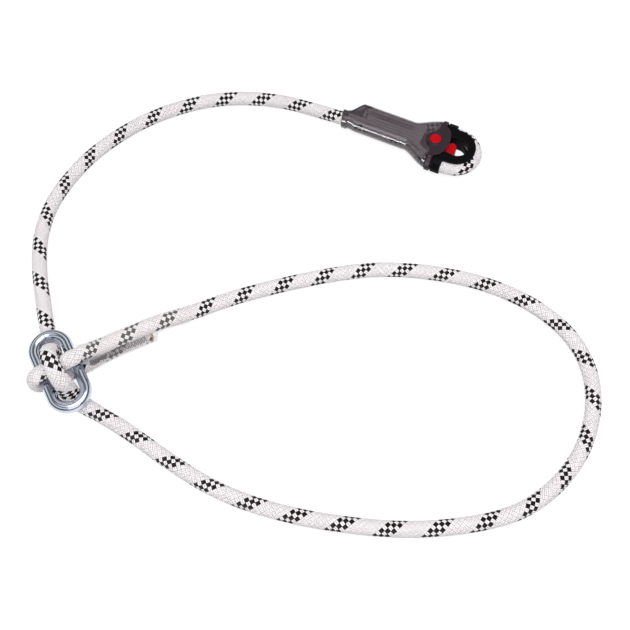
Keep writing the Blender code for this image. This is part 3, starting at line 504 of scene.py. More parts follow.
def hitch_points():
    """The bight, as rows of distance along the ring, distance across it and height."""
    down = ROPE_RADIUS
    side = STRAND_PITCH + BIGHT_SLACK
    top = STRAND_TOP_Z - EYE_DIP
    rows = [
        (END_BAR_OFFSET + 0.0090, 0.0026, down), (END_BAR_OFFSET + 0.0010, 0.0016, down),
        (END_BAR_OFFSET - 0.0065, 0.0010, down + 0.0007), (side + 0.0042, 0.0008, down + 0.0044),
        (side + 0.0012, 0.0008, down + 0.0096), (side, 0.0008, top - 0.0010),
    ]
    for angle in np.radians([25, 50, 70, 90, 110, 130, 155]):
        rise = (BIGHT_TOP_Z - top) * math.sin(angle)
        rows.append((side * math.cos(angle), -BIGHT_SWAY * math.sin(angle), top + rise))
    rows += [
        (-side, 0.0, top - 0.0010), (-side - 0.0012, 0.0002, down + 0.0096),
        (-side - 0.0042, 0.0010, down + 0.0044), (-side - 0.0100, 0.0032, down + 0.0007),
        (-side - 0.0165, 0.0066, down), (-side - 0.0240, 0.0110, down),
    ]
    return [ring_place(*row) for row in rows]


def seam_pairs():
    """The standing strand and the tail below it, station by station, from the ring outward."""
    pairs = []
    last = len(SEAM_POINTS) - 1
    for k, (x, y) in enumerate(SEAM_POINTS):
        lower = Vector((x, y, SLEEVED_Z))
        before = Vector((*SEAM_POINTS[max(0, k - 1)], 0.0))
        after = Vector((*SEAM_POINTS[min(last, k + 1)], 0.0))
        ahead = (after - before).normalized()
        aside = Vector((-ahead.y, ahead.x, 0.0))
        up = math.cos(SEAM_LEAN) * aside + Vector((0.0, 0.0, math.sin(SEAM_LEAN)))
        pairs.append((lower + (STRAND_PITCH + SEAM_SPREAD[k]) * up, lower))
    return pairs


def lifted(points):
    """Points given as a place on the table and the rope's lift above it."""
    return [Vector((x, y, ROPE_RADIUS + lift)) for x, y, lift in points]


def sewn_eye_points():
    """Standing part down the sleeve, over the ring, round its bar and back as the tail."""
    pairs = seam_pairs()
    points = lifted(SLEEVE_FAR_POINTS) + [upper for upper, lower in reversed(pairs)]
    rows = [(BAR_OFFSET + 0.0005, STRAND_TOP_Z), (0.0, STRAND_TOP_Z - EYE_DIP), (-BAR_OFFSET, STRAND_TOP_Z)]
    rows += [(-BAR_OFFSET + WRAP_RADIUS * math.cos(angle), RING_Z + WRAP_RADIUS * math.sin(angle))
             for angle in np.radians([115, 140, 165, 190, 215, 240])]
    rows += [(across, ROPE_RADIUS) for across in (-BAR_OFFSET, 0.0, BAR_OFFSET)]
    return points + [ring_place(0.0, *row) for row in rows] + [lower for upper, lower in pairs]


print("points through the hitch:", len(hitch_points()), "and round the ring:", len(sewn_eye_points()))

# %% [markdown]
# A natural cubic spline needs one small linear system, which numpy solves at once. It is sampled
# finely and its length is added up row by row: that running length is what places the braid later.

# %% One smooth line for the whole rope
SAMPLES_PER_KNOT = 40


def smooth_line(points):
    """Natural cubic spline through points, and the distance run at each of its samples."""
    knots = np.array([tuple(point) for point in points], dtype=float)
    chord = np.linalg.norm(np.diff(knots, axis=0), axis=1)
    count = len(knots)
    system = np.eye(count)
    right = np.zeros((count, 3))
    for i in range(1, count - 1):
        system[i, i - 1:i + 2] = chord[i - 1], 2.0 * (chord[i - 1] + chord[i]), chord[i]
        right[i] = 6.0 * ((knots[i + 1] - knots[i]) / chord[i] - (knots[i] - knots[i - 1]) / chord[i - 1])
    bend = np.linalg.solve(system, right)
    share = np.arange(SAMPLES_PER_KNOT)[:, None] / SAMPLES_PER_KNOT
    rest = 1.0 - share
    pieces = []
    for i in range(count - 1):
        pull = ((rest ** 3 - rest) * bend[i] + (share ** 3 - share) * bend[i + 1]) * chord[i] ** 2 / 6.0
        pieces.append(rest * knots[i] + share * knots[i + 1] + pull)
    line = np.vstack(pieces + [knots[-1:]])
    line[:, 2] = np.maximum(line[:, 2], ROPE_RADIUS)
    run = np.concatenate([[0.0], np.cumsum(np.linalg.norm(np.diff(line, axis=0), axis=1))])
    return line, run


end_part = end_rope_points()
leg_lifts = [(END_Z - ROPE_RADIUS) * share for share in LEG_LIFT_SHARES] + [0.0] * len(LEG_POINTS)
leg_part = lifted([(x, y, lift) for (x, y), lift in zip(LEG_POINTS, leg_lifts)])
loop_part = lifted([(x, y, 0.0) for x, y in LOOP_POINTS] + LOOP_RISE_POINTS)
hitch_part = hitch_points()
eye_part = sewn_eye_points()
LINE, RUN = smooth_line(end_part + leg_part + hitch_part + loop_part + eye_part)

ring_in = len(end_part) + len(leg_part)
sleeve_end = ring_in + len(hitch_part) + len(loop_part)
tail_knot = sleeve_end + len(eye_part) - 1
KNOTS = {
    "mouth": len(end_part) - 1,
    "split": len(end_part) + LEG_SPLIT,
    "ring_in": ring_in,
    "ring_out": ring_in + len(hitch_part) - 1,
    "sleeve_end": sleeve_end,
    "pair_far_upper": sleeve_end + len(SLEEVE_FAR_POINTS),
    "pair_near_upper": sleeve_end + len(SLEEVE_FAR_POINTS) + len(SEAM_POINTS) - 1,
    "pair_near_lower": tail_knot - len(SEAM_POINTS) + 1,
    "tail": tail_knot,
}
RUN_AT = {name: float(RUN[knot * SAMPLES_PER_KNOT]) for name, knot in KNOTS.items()}
ROPE_LENGTH = float(RUN[-1])
print("rope in all:", round(ROPE_LENGTH, 4), "m; at the cover's mouth", round(RUN_AT["mouth"], 4))

# %% [markdown]
# ## A tube that follows the line
#
# A braid needs to know two things at each point of the skin: how far along the rope it is, and how far
# round. A curve's bevel would give a tube, but its ring directions change from piece to piece. Here
# one frame is carried along the whole line without turning about it, so the braid runs on from one
# piece to the next. The lay's own twist, which puts the tracer where the photograph shows it, is added.
# Where the rope turns tightly it is pressed flat against what it goes round, as a soft rope is, and
# that is worked out from how tightly the line bends. The bight also spreads to its left, by listed amounts.

# %% Frames along the rope
BRAID_PITCH = 0.031
BRAID_DEPTH = 0.00045
LAY_AT_MOUTH = 0.2265
STRANDS = 8
SIDES = 64
ROW_STEP = BRAID_PITCH / SIDES
LAY_TWIST = [
    (0.00, -0.53), (0.098, -0.53), (0.122, -0.37), (0.17, -0.37), (0.2265, -0.255), (0.27, -0.25),
    (0.34, -0.22), (0.48, -0.29), (0.57, -0.23), (0.655, -0.33), (0.70, -0.30), (0.76, -0.19),
    (0.88, -0.09), (0.97, -0.08), (1.035, -0.135), (1.19, -0.01), (1.33, 0.045), (1.37, 0.115),
    (1.45, 0.17), (1.49, 0.20), (1.52, 0.30), (1.56, 0.40), (1.615, 0.40), (1.645, 0.79),
]
BEND_WINDOW = 15
SLACK_BEND = 30.0
TIGHT_BEND = 105.0
PRESS_FLAT = 0.34
PRESS_WIDE = 0.08
BIGHT_PRESS = 0.4
BIGHT_SPREAD = [
    (3, 0.00, 0.00), (5, 0.10, 0.06), (8, 0.20, -0.10), (11, 0.24, -0.12), (14, 0.50, 0.06),
    (16, 0.46, 0.00), (18, 0.00, 0.00),
]
TIP_LENGTH = 0.0030
TIP_NARROW = 0.62

STATIONS = np.arange(0.0, ROPE_LENGTH, ROW_STEP)
centres = read_rows(STATIONS, RUN, LINE)
tangents = unit(np.gradient(centres, axis=0))
normals = np.zeros_like(centres)
carried = np.array([0.0, 0.0, 1.0])
for i, tangent in enumerate(tangents):
    carried = carried - carried.dot(tangent) * tangent
    carried /= np.linalg.norm(carried)
    normals[i] = carried
window = np.hanning(BEND_WINDOW)
window /= window.sum()
bends = np.gradient(tangents, axis=0) / ROW_STEP
bends = np.stack([np.convolve(column, window, mode="same") for column in bends.T], axis=1)
tightness = np.linalg.norm(bends, axis=1)
inward = bends / np.maximum(tightness, 1e-6)[:, None]
pressed = np.clip((tightness - SLACK_BEND) / (TIGHT_BEND - SLACK_BEND), 0.0, 1.0)
pressed[STATIONS < RUN_AT["mouth"]] = 0.0
pressed[(STATIONS > RUN_AT["ring_in"]) & (STATIONS < RUN_AT["ring_out"])] *= BIGHT_PRESS
RING_ACROSS = np.array([math.cos(RING_TURN), math.sin(RING_TURN), 0.0])
spread_knots, left_growth, right_growth = zip(*BIGHT_SPREAD)
spread_runs = [RUN[(ring_in + knot) * SAMPLES_PER_KNOT] for knot in spread_knots]
spread_left = np.interp(STATIONS, spread_runs, left_growth)
spread_right = np.interp(STATIONS, spread_runs, right_growth)
print("stations:", len(STATIONS), "and the tightest bend in mm:", round(1000 / tightness.max(), 1))


# %% A stretch of rope as a tube
def cell_corners(grid):
    """The values at the four corners of each cell of a grid."""
    return np.stack([grid[:-1, :-1], grid[:-1, 1:], grid[1:, 1:], grid[1:, :-1]], axis=2)


def rope_tube(name, start, end, tip=None):
    """The rope's skin between two distances, closed at both ends, with its lay as a UV map."""
    inside = STATIONS[(STATIONS > start + ROW_STEP / 4) & (STATIONS < end - ROW_STEP / 4)]
    places = np.concatenate([[start], inside, [end]])
    lay_run = places + LAY_AT_MOUTH - RUN_AT["mouth"]
    press, left, right = [np.interp(places, STATIONS, values)[:, None, None]
                          for values in (pressed, spread_left, spread_right)]
    centre, toward, ahead, first = [read_rows(places, STATIONS, rows)
                                    for rows in (centres, inward, tangents, normals)]
    ahead = unit(ahead)
    first = unit(first - (first * ahead).sum(axis=1)[:, None] * ahead)
    second = np.cross(ahead, first)
    angle = 2.0 * math.pi * np.arange(SIDES) / SIDES
    out = (np.cos(angle)[None, :, None] * first[:, None, :]
           + np.sin(angle)[None, :, None] * second[:, None, :])
    radius = np.full(len(places), ROPE_RADIUS - BRAID_DEPTH / 2)
    if tip is not None:
        away = np.clip(np.abs(places - tip) / TIP_LENGTH, 0.0, 1.0)
        radius *= TIP_NARROW + (1.0 - TIP_NARROW) * np.sqrt(1.0 - (1.0 - away) ** 2)
    offset = out * radius[:, None, None]
    inside_way = toward[:, None, :]
    aside = np.cross(ahead, toward)[:, None, :]
    depth = (offset * inside_way).sum(axis=2, keepdims=True)
    width = (offset * aside).sum(axis=2, keepdims=True)
    offset = offset - press * PRESS_FLAT * depth * inside_way + press * PRESS_WIDE * width * aside
    sideways = (offset * RING_ACROSS).sum(axis=2, keepdims=True)
    offset = offset + np.where(sideways < 0.0, left, right) * sideways * RING_ACROSS
    centre = centre + press[:, :, 0] * PRESS_FLAT * ROPE_RADIUS * toward
    points = np.vstack([(centre[:, None, :] + offset).reshape(-1, 3), centre[:1], centre[-1:]])

    rows = len(places)
    corner = np.arange(rows * SIDES).reshape(rows, SIDES)
    corner = np.hstack([corner, corner[:, :1]])
    faces = cell_corners(corner).reshape(-1, 4).tolist()
    faces += [(rows * SIDES, int(corner[0, k + 1]), int(corner[0, k])) for k in range(SIDES)]
    faces += [(rows * SIDES + 1, int(corner[-1, k]), int(corner[-1, k + 1])) for k in range(SIDES)]
    mesh = bpy.data.meshes.new(name)
    mesh.from_pydata(points.tolist(), [], faces)
    twist = np.interp(lay_run, *zip(*LAY_TWIST))
    turn = np.arange(SIDES + 1)[None, :] / SIDES + twist[:, None]
    run = np.repeat(lay_run[:, None], SIDES + 1, axis=1)
    lay = np.stack([cell_corners(turn), cell_corners(run)], axis=3).reshape(-1, 2)
    ends = np.repeat([[turn[0, 0], lay_run[0]], [turn[-1, 0], lay_run[-1]]], 3 * SIDES, axis=0)
    layer = mesh.uv_layers.new(name="lay")
    layer.data.foreach_set("uv", np.concatenate([lay, ends]).astype(np.float32).ravel())
    store(mesh, "turn", np.concatenate([turn[:, :-1].ravel(), [0.0, 0.0]]))
    store(mesh, "run", np.concatenate([np.repeat(lay_run, SIDES), lay_run[[0, -1]]]))
    store(mesh, "outward", np.vstack([out.reshape(-1, 3), np.zeros((2, 3))]), "FLOAT_VECTOR")
    mesh.shade_smooth()
    mesh.set_sharp_from_angle(angle=math.radians(70.0))
    return place_object(name, mesh)


print("rows on the big loop:", int((RUN_AT["sleeve_end"] - RUN_AT["ring_out"]) / ROW_STEP))

# %% [markdown]
# ## The braid
#
# The sheath is braided from sixteen strands of two yarns each: eight wind one way and eight the other,
# and they pass over and under by turns. Seen flat, that is a chequer of diamonds, each one showing two
# short yarns side by side with a shallow groove between them. Three neighbouring strands of one direction
# are black, and they make the tracer: a slanted band of black diamonds that comes round every 31 mm.
# The pattern follows from two numbers, the turn about the rope and the run along it, so it is written
# once, as Math nodes. A Geometry Nodes tree raises the yarns with it and the shader colours them with it.

# %% The braid as Math nodes
BLACK_STRANDS = 3
DIVE_DEPTH = 0.60
SIDE_HEIGHT = 0.12
YARNS_JOINED = 0.32
JOIN_STARTS = 0.22
GAP_HALF = 0.07


def braid_fields(turn, run, pitch):
    """Which strand lies on top at a place, where in its diamond that is, and how high it stands."""
    drift = run / pitch
    one = (turn + drift) * float(STRANDS)
    other = (turn - drift) * float(STRANDS)
    strand_one = one.math("FLOOR")
    strand_other = other.math("FLOOR")
    part_one = one.math("FRACT")
    part_other = other.math("FRACT")
    one_on_top = (strand_one + strand_other) % 2.0 < 0.5
    across = (part_one - part_other) * one_on_top + part_other
    along = part_one + part_other - across
    arch = (along * math.pi).math("SINE")
    dive = arch * (1.0 - DIVE_DEPTH) + DIVE_DEPTH
    from_side = 0.5 - abs(across - 0.5)
    two_crests = abs((across * (2.0 * math.pi)).math("SINE"))
    yarns = two_crests.math("MAXIMUM", ramp(from_side, 0.0, JOIN_STARTS) * YARNS_JOINED)
    height = dive * (yarns * (1.0 - SIDE_HEIGHT) + SIDE_HEIGHT)
    one_shows = one_on_top.math("MAXIMUM", from_side < GAP_HALF)
    black = one_shows * (strand_one % float(STRANDS) < BLACK_STRANDS - 0.5)
    return {"height": height, "black": black, "across": across, "yarns": yarns, "arch": arch,
            "strand_one": strand_one, "strand_other": strand_other}


# %% Geometry Nodes tree that raises the yarns
def stored(tree, label, kind="FLOAT"):
    """What store() kept on a mesh, read inside a geometry tree."""
    return put(tree, "GeometryNodeInputNamedAttribute", {"Name": label}, "Attribute", data_type=kind)


def scaled(arrow, factor):
    """An arrow, or a colour, times a number."""
    return put(arrow.tree, "ShaderNodeVectorMath", {0: arrow, "Scale": factor}, operation="SCALE")


relief, entry, leave = new_group(
    "GeometryNodeTree", "braid_relief",
    {"Geometry": "Geometry", "Depth": BRAID_DEPTH, "Pitch": BRAID_PITCH, "Material": "Material"},
    {"Geometry": "Geometry"})
braid = braid_fields(stored(relief, "turn"), stored(relief, "run"), entry["Pitch"])
push = scaled(stored(relief, "outward", "FLOAT_VECTOR"), (braid["height"] - 0.5) * entry["Depth"])
raised = put(relief, "GeometryNodeSetPosition", {"Geometry": entry["Geometry"], "Offset": push})
hand_out(relief, leave, raised, entry["Material"])
print("relief tree:", len(relief.nodes), "nodes")

# %% [markdown]
# ## The rope's finish
#
# White polyamide yarn is bright on its crowns. Its grooves, and the ends of each diamond where a strand
# dives under the next, are darkened to a pinkish grey: painted shade. The black yarn is not quite black:
# its edges go brown. One shader group turns the lay into a colour, painted shade included, and a height,
# and a second one, which other finishes use too, adds the fine uneven tone that keeps a large plain
# surface from looking printed.

# %% Shader group for uneven tone
GRAIN_FINER = 9.0


def noise(tree, scale, detail):
    """A cloudy pattern that lies still on the piece, since it reads the piece's own coordinates."""
    where = put(tree, "ShaderNodeTexCoord", output="Object")
    return put(tree, "ShaderNodeTexNoise", {"Vector": where, "Scale": scale, "Detail": detail})


tone, entry, leave = new_group(
    "ShaderNodeTree", "uneven_tone",
    {"Colour": (0.8, 0.8, 0.8, 1.0), "Size": 0.004, "Strength": 0.1, "Roughness": 0.5},
    {"Colour": "Color", "Roughness": "Float", "Grain": "Float"})
scale = 1.0 / entry["Size"]
swing = (noise(tone, scale, 4.0) - 0.5) * entry["Strength"]
feed(tone, leave["Colour"], scaled(entry["Colour"], swing + 1.0))
feed(tone, leave["Roughness"], entry["Roughness"] + swing)
feed(tone, leave["Grain"], noise(tone, scale * GRAIN_FINER, 2.0))
print("tone group:", len(tone.nodes), "nodes")

# %% Shader group for the braid's colours, with painted shade in its grooves
YARN_WHITE = rgb(253, 249, 250)
# Pinkish grey for the painted shade in the grooves; single strands also drift toward it at random.
GROOVE_SHADE_AND_STRAND_TONE_GREY = rgb(168, 150, 158)
CREST_FULL_AT = 0.65
END_SHADE = 0.24
END_LENGTH = 0.4
STRANDS_DIFFER = 0.08
YARN_BLACK = rgb(10, 6, 7)
BLACK_EDGE = rgb(62, 42, 38)
BLACK_EDGE_LENGTH = 0.30
FILAMENTS = 12.0
FILAMENT_HEIGHT = 0.07

sheath, entry, leave = new_group(
    "ShaderNodeTree", "braided_sheath", {"Turn": 0.0, "Run": 0.0, "Pitch": BRAID_PITCH},
    {"Colour": "Color", "Height": "Float", "Black": "Float"})
braid = braid_fields(entry["Turn"], entry["Run"], entry["Pitch"])
yarn_number = put(sheath, "ShaderNodeCombineXYZ", [braid["strand_one"], braid["strand_other"]])
chance = put(sheath, "ShaderNodeTexWhiteNoise", [yarn_number], "Value")
# Painted shade: the grooves and the diamond ends, where a strand dives under its neighbour, go grey.
painted_end_shade = ramp(braid["arch"], 0.0, END_LENGTH) * END_SHADE + (1.0 - END_SHADE)
white = mix(sheath, ramp(braid["yarns"], 0.0, CREST_FULL_AT) * painted_end_shade, GROOVE_SHADE_AND_STRAND_TONE_GREY, YARN_WHITE)
# Random tone: each strand drifts a little toward the same grey.
white = mix(sheath, chance * STRANDS_DIFFER, white, GROOVE_SHADE_AND_STRAND_TONE_GREY)
black = mix(sheath, ramp(braid["arch"], 0.0, BLACK_EDGE_LENGTH), BLACK_EDGE, YARN_BLACK)
filaments = (braid["across"] * (2.0 * math.pi * FILAMENTS)).math("SINE") * FILAMENT_HEIGHT
feed(sheath, leave["Colour"], mix(sheath, braid["black"], white, black))
feed(sheath, leave["Height"], braid["height"] + filaments)
feed(sheath, leave["Black"], braid["black"])
print("sheath group:", len(sheath.nodes), "nodes")


# %% A new material with its Principled shader
def dress(tree, **fields):
    """Give named sockets of a material's Principled shader a field, or a plain value."""
    for label, value in fields.items():
        feed(tree, tree.nodes["Principled BSDF"].inputs[label.replace("_", " ")], value)


def new_material(name, **plain):
    """A material whose uniform numbers are set on the shader's own sockets."""
    material = bpy.data.materials.new(name)
    material.use_nodes = True
    dress(material.node_tree, **plain)
    return material, material.node_tree


def toned(tree, colour, size, strength, roughness):
    """Give a material an uneven tone, and hand back the group's colour to mix further."""
    even = put(tree, "ShaderNodeGroup", {"Colour": colour, "Size": size, "Strength": strength,
                                         "Roughness": roughness}, node_tree=tone)
    dress(tree, Base_Color=even, Roughness=even.output("Roughness"))
    return even


def painted(tree, label):
    """What store() kept on a mesh, read inside a shader tree."""
    return put(tree, "ShaderNodeAttribute", output="Fac", attribute_name=label)


def bump(tree, height, distance, strength=1.0):
    """A Bump node's normal from a height."""
    return put(tree, "ShaderNodeBump", {"Height": height, "Distance": distance, "Strength": strength})


# %% Rope sheath
MELT_AMBER = rgb(196, 150, 92)
MELT_LENGTH = 0.0022
MELT_BLOTCHES = 260.0
BLACK_GLOSS = 0.14

rope_finish, tree = new_material("white_braided_sheath", Specular_IOR_Level=0.18, Sheen_Weight=0.06,
                                 Sheen_Roughness=0.4)
lay_turn = put(tree, "ShaderNodeSeparateXYZ", [put(tree, "ShaderNodeUVMap", uv_map="lay")])
lay_run = lay_turn.output("Y")
skin = put(tree, "ShaderNodeGroup", {"Turn": lay_turn, "Run": lay_run}, node_tree=sheath)
even = toned(tree, skin, 0.02, 0.10, 0.72)
from_tip = ROPE_LENGTH + LAY_AT_MOUTH - RUN_AT["mouth"] - lay_run
melted = 1.0 - ramp(from_tip, MELT_LENGTH * 0.4, MELT_LENGTH)
melted = melted * ramp(noise(tree, MELT_BLOTCHES, 2.0), 0.42, 0.62)
dress(tree, Base_Color=mix(tree, melted, even, MELT_AMBER),
      Roughness=even.output("Roughness") - skin.output("Black") * BLACK_GLOSS,
      Normal=bump(tree, skin.output("Height"), 0.0003))
print("rope finish:", len(tree.nodes), "nodes")

# %% [markdown]
# ## The six stretches of rope
#
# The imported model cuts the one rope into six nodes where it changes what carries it, so the finer rope
# has the same six pieces. They meet ring to ring, with the same braid on both sides of a joint. Both
# tails end in a melted tip, where the rope was cut with a hot blade, so they are a little rounded.

# %% Rope stretches
STRETCHES = {
    "rope_thimble_eye": (0.0, RUN_AT["mouth"], 0.0),
    "rope_boot_stretch": (RUN_AT["mouth"], RUN_AT["split"], None),
    "rope_anchor_leg": (RUN_AT["split"], RUN_AT["ring_in"], None),
    "rope_bight": (RUN_AT["ring_in"], RUN_AT["ring_out"], None),
    "rope_loop": (RUN_AT["ring_out"], RUN_AT["sleeve_end"], None),
    "rope_sewn_eye": (RUN_AT["sleeve_end"], ROPE_LENGTH, ROPE_LENGTH),
}
ropes = {}
for node, (start, end, tip) in STRETCHES.items():
    rope = rope_tube("braided_" + node, start, end, tip)
    settle(rope, relief, {"Depth": BRAID_DEPTH, "Pitch": BRAID_PITCH, "Material": rope_finish})
    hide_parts(node)
    ropes[node] = rope
    print(node, round(end - start, 4), "m,", len(rope.data.polygons), "faces")

# %% [markdown]
# The three free stretches cross a joint: the leg and the loop meet the ring, which slides, and the short
# stretch at the cover's mouth meets the sewn end. FADES lists for each a body and the two ends of a line
# along which it would fade from one body to the other; here each stretch only has its placement baked in.

# %% Free stretches baked in place
FADES = {
    "rope_boot_stretch": ("termination", (-0.045, 0.176, 0.0), (0.028, 0.158, 0.0)),
    "rope_anchor_leg": ("adjuster", (-0.052, 0.176, 0.0), (-0.186, -0.026, 0.0)),
    "rope_loop": ("adjuster", (0.150, 0.0, 0.0), (-0.075, 0.0, 0.0)),
}
for node, (body, fade_start, fade_end) in FADES.items():
    start, end, tip = STRETCHES[node]
    places = np.concatenate([[start], RUN[(RUN > start) & (RUN < end)][::4], [end]])
    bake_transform(ropes[node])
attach(ropes["rope_thimble_eye"], "termination")
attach(ropes["rope_bight"], "adjuster")
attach(ropes["rope_sewn_eye"], "adjuster")
print("cords declared:", len(FADES))

# %% [markdown]
# ## The oval ring
#
# The adjuster is a welded ring of 8 mm steel bar, bent to a long oval and polished. Its shape follows a
# rule: a rectangle whose corners are rounded until its short sides are half circles, with a round bar
# swept along it. Geometry Nodes can do each of those steps with one node, so the ring's three sizes
# stay named inputs. Many segments keep its reflections smooth, since they are what shows on steel.

# %% Oval ring tree
RING_SIDES = 64
CORNER_STEPS = 48
ALMOST_HALF = 0.4999

ring_tree, entry, leave = new_group(
    "GeometryNodeTree", "oval_ring_sweep",
    {"Geometry": "Geometry", "Length": RING_LENGTH, "Width": RING_WIDTH, "Wire": RING_WIRE,
     "Centre": "Vector", "Turn": "Vector", "Material": "Material"},
    {"Geometry": "Geometry"})
across_bars = entry["Width"] - entry["Wire"]
along_bars = entry["Length"] - entry["Wire"]
oblong = put(ring_tree, "GeometryNodeCurvePrimitiveQuadrilateral",
             {"Width": across_bars, "Height": along_bars})
rounded = put(ring_tree, "GeometryNodeFilletCurve",
              {"Curve": oblong, "Radius": across_bars * ALMOST_HALF, "Count": CORNER_STEPS}, mode="POLY")
placed = put(ring_tree, "GeometryNodeTransform",
             {"Geometry": rounded, "Translation": entry["Centre"], "Rotation": entry["Turn"]})
bar = put(ring_tree, "GeometryNodeCurvePrimitiveCircle",
          {"Resolution": RING_SIDES, "Radius": entry["Wire"] * 0.5})
swept = put(ring_tree, "GeometryNodeCurveToMesh", {"Curve": placed, "Profile Curve": bar})
smooth = put(ring_tree, "GeometryNodeSetShadeSmooth", {"Geometry": swept})
hand_out(ring_tree, leave, smooth, entry["Material"])
print("ring tree:", len(ring_tree.nodes), "nodes")

# %% [markdown]
# The steel is plated with zinc and polished. Metal has hardly a colour of its own: its look is what it
# mirrors, so the finish is fully metallic, faintly blue and nearly smooth. Plating is never quite even,
# so the tone group adds a weak cloudiness, without which the bar would look drawn.

# %% Polished steel
STEEL = rgb(206, 213, 228)

steel, tree = new_material("polished_zinc_steel", Metallic=1.0)
toned(tree, STEEL, 0.006, 0.05, 0.15)

ring = place_object("polished_oval_ring", bpy.data.meshes.new("polished_oval_ring"))
settle(ring, ring_tree,
       {"Length": RING_LENGTH, "Width": RING_WIDTH, "Wire": RING_WIRE,
        "Centre": (RING_X, RING_Y, RING_Z), "Turn": (0.0, 0.0, RING_TURN), "Material": steel})
keep_strip_off(ring)
declare(ring, "oval_ring", "adjuster")

# %% [markdown]
# ## Stitches
#
# Both sewn ends are held by a zig-zag seam of thick thread, which bridges the valley between the two
# strands on the front and on the back. A stitch is the same short bowed thread again and again, leaning
# one way and then the other. So the script only draws the path that the seam follows, with two arrows
# stored on it: across, from strand to strand, and outward. A Geometry Nodes tree spaces the stitches
# along the path and turns each one to its arrows.

# %% Stitch tree
STITCH_STEPS = 7

stitch_tree, entry, leave = new_group(
    "GeometryNodeTree", "thread_stitches",
    {"Geometry": "Geometry", "Pitch": 0.0011, "Reach": 0.003, "Bow": 0.001, "Thread": 0.0006,
     "Lean": 0.2, "Seed": 1, "Material": "Material"},
    {"Geometry": "Geometry"})
valley = put(stitch_tree, "GeometryNodeMeshToCurve", [entry["Geometry"]])
spaced = put(stitch_tree, "GeometryNodeResampleCurve", {"Curve": valley, "Length": entry["Pitch"]},
             mode="LENGTH")
across, outward = [stored(stitch_tree, label, "FLOAT_VECTOR") for label in ("across", "outward")]
ahead = put(stitch_tree, "ShaderNodeVectorMath", [outward, across], operation="CROSS_PRODUCT")
either_way = put(stitch_tree, "GeometryNodeInputIndex") % 2.0 * 2.0 - 1.0
uneven = put(stitch_tree, "FunctionNodeRandomValue", {"Seed": entry["Seed"]}, "Value", data_type="FLOAT")
lean = either_way * entry["Lean"] * (uneven + 0.5)
slanted = put(stitch_tree, "ShaderNodeVectorMath", [across, scaled(ahead, lean)], operation="ADD")
turned = put(stitch_tree, "FunctionNodeAxesToRotation",
             {"Primary Axis": slanted, "Secondary Axis": outward}, primary_axis="X", secondary_axis="Z")
low = entry["Bow"] * -1.0
near = put(stitch_tree, "ShaderNodeCombineXYZ", {"X": entry["Reach"] * -1.0, "Z": low})
crown = put(stitch_tree, "ShaderNodeCombineXYZ", {"Z": entry["Bow"]})
far = put(stitch_tree, "ShaderNodeCombineXYZ", {"X": entry["Reach"], "Z": low})
bowed = put(stitch_tree, "GeometryNodeCurveQuadraticBezier",
            {"Resolution": STITCH_STEPS, "Start": near, "Middle": crown, "End": far})
strand = put(stitch_tree, "GeometryNodeCurvePrimitiveCircle",
             {"Resolution": STITCH_STEPS, "Radius": entry["Thread"] * 0.5})
stitch = put(stitch_tree, "GeometryNodeCurveToMesh",
             {"Curve": bowed, "Profile Curve": strand, "Fill Caps": True})
smooth = put(stitch_tree, "GeometryNodeSetShadeSmooth", {"Geometry": stitch})
row = put(stitch_tree, "GeometryNodeInstanceOnPoints",
          {"Points": spaced, "Instance": smooth, "Rotation": turned})
hand_out(stitch_tree, leave, row, entry["Material"])
print("stitch tree:", len(stitch_tree.nodes), "nodes")

# %% [markdown]
# The thread is black, but its loose fibres scatter light, so the finish is a dark bluish grey, rough and
# finely grained. Both seams use it, and one function makes a seam from its path, its arrows and its sizes.

# %% Black thread
THREAD_BLACK = rgb(66, 68, 78)

thread, tree = new_material("black_sewing_thread")
even = toned(tree, THREAD_BLACK, 0.0012, 0.5, 0.55)
dress(tree, Normal=bump(tree, even.output("Grain"), 0.0001))


def sew(node, body, middles, across, outward, sizes):
    """Draw a seam's path with the two arrows that turn its stitches, and let the tree sew it."""
    mesh = bpy.data.meshes.new("zigzag_" + node)
    mesh.from_pydata([tuple(point) for point in middles], [(k, k + 1) for k in range(len(middles) - 1)], [])
    store(mesh, "across", across, "FLOAT_VECTOR")
    store(mesh, "outward", outward, "FLOAT_VECTOR")
    seam = place_object("zigzag_" + node, mesh)
    settle(seam, stitch_tree, {**sizes, "Material": thread})
    declare(seam, node, body)


print("thread:", thread.name)

# %% [markdown]
# At the ring the standing strand lies above the tail, so the valley faces sideways and the front seam
# shows under the sleeve. Near the ring the strands part to pass the bar: there the seam's thread ends
# are laid along the valley as a flat bundle, and the stitches start beyond them.

# %% Pair of strands at the ring
LOWER_ROW = KNOTS["pair_near_lower"] * SAMPLES_PER_KNOT
UPPER_ROW = KNOTS["pair_near_upper"] * SAMPLES_PER_KNOT
PAIR_STEPS = KNOTS["tail"] * SAMPLES_PER_KNOT - LOWER_ROW

pair_lower = LINE[LOWER_ROW:LOWER_ROW + PAIR_STEPS + 1]
pair_upper = LINE[UPPER_ROW - PAIR_STEPS:UPPER_ROW + 1][::-1]
pair_run = RUN[LOWER_ROW:LOWER_ROW + PAIR_STEPS + 1] - RUN[LOWER_ROW]
pair_across = unit(pair_upper - pair_lower)
pair_outward = unit(np.cross(unit(np.gradient(pair_lower, axis=0)), pair_across))
pair_middle = (pair_upper + pair_lower) / 2
print("seam at the ring can be", round(1000 * pair_run[-1], 1), "mm long")

# %% Seam at the ring
SEAM_FROM = 0.0130
SEAM_LEFT_BARE = 0.0060
SEAM_DEPTH = 0.0051
SEAM_SHIFT = -0.0022
RING_SEAM = {"Pitch": 0.00118, "Reach": 0.0043, "Bow": 0.0003, "Thread": 0.00048, "Lean": 0.06, "Seed": 3}

chosen = (pair_run > SEAM_FROM) & (pair_run < pair_run[-1] - SEAM_LEFT_BARE)
for face, node in ((1.0, "adjuster_stitching_front"), (-1.0, "adjuster_stitching_back")):
    depth = pair_outward * face * SEAM_DEPTH + pair_across * SEAM_SHIFT
    sew(node, "adjuster", (pair_middle + depth)[chosen], pair_across[chosen],
        pair_outward[chosen] * face, RING_SEAM)

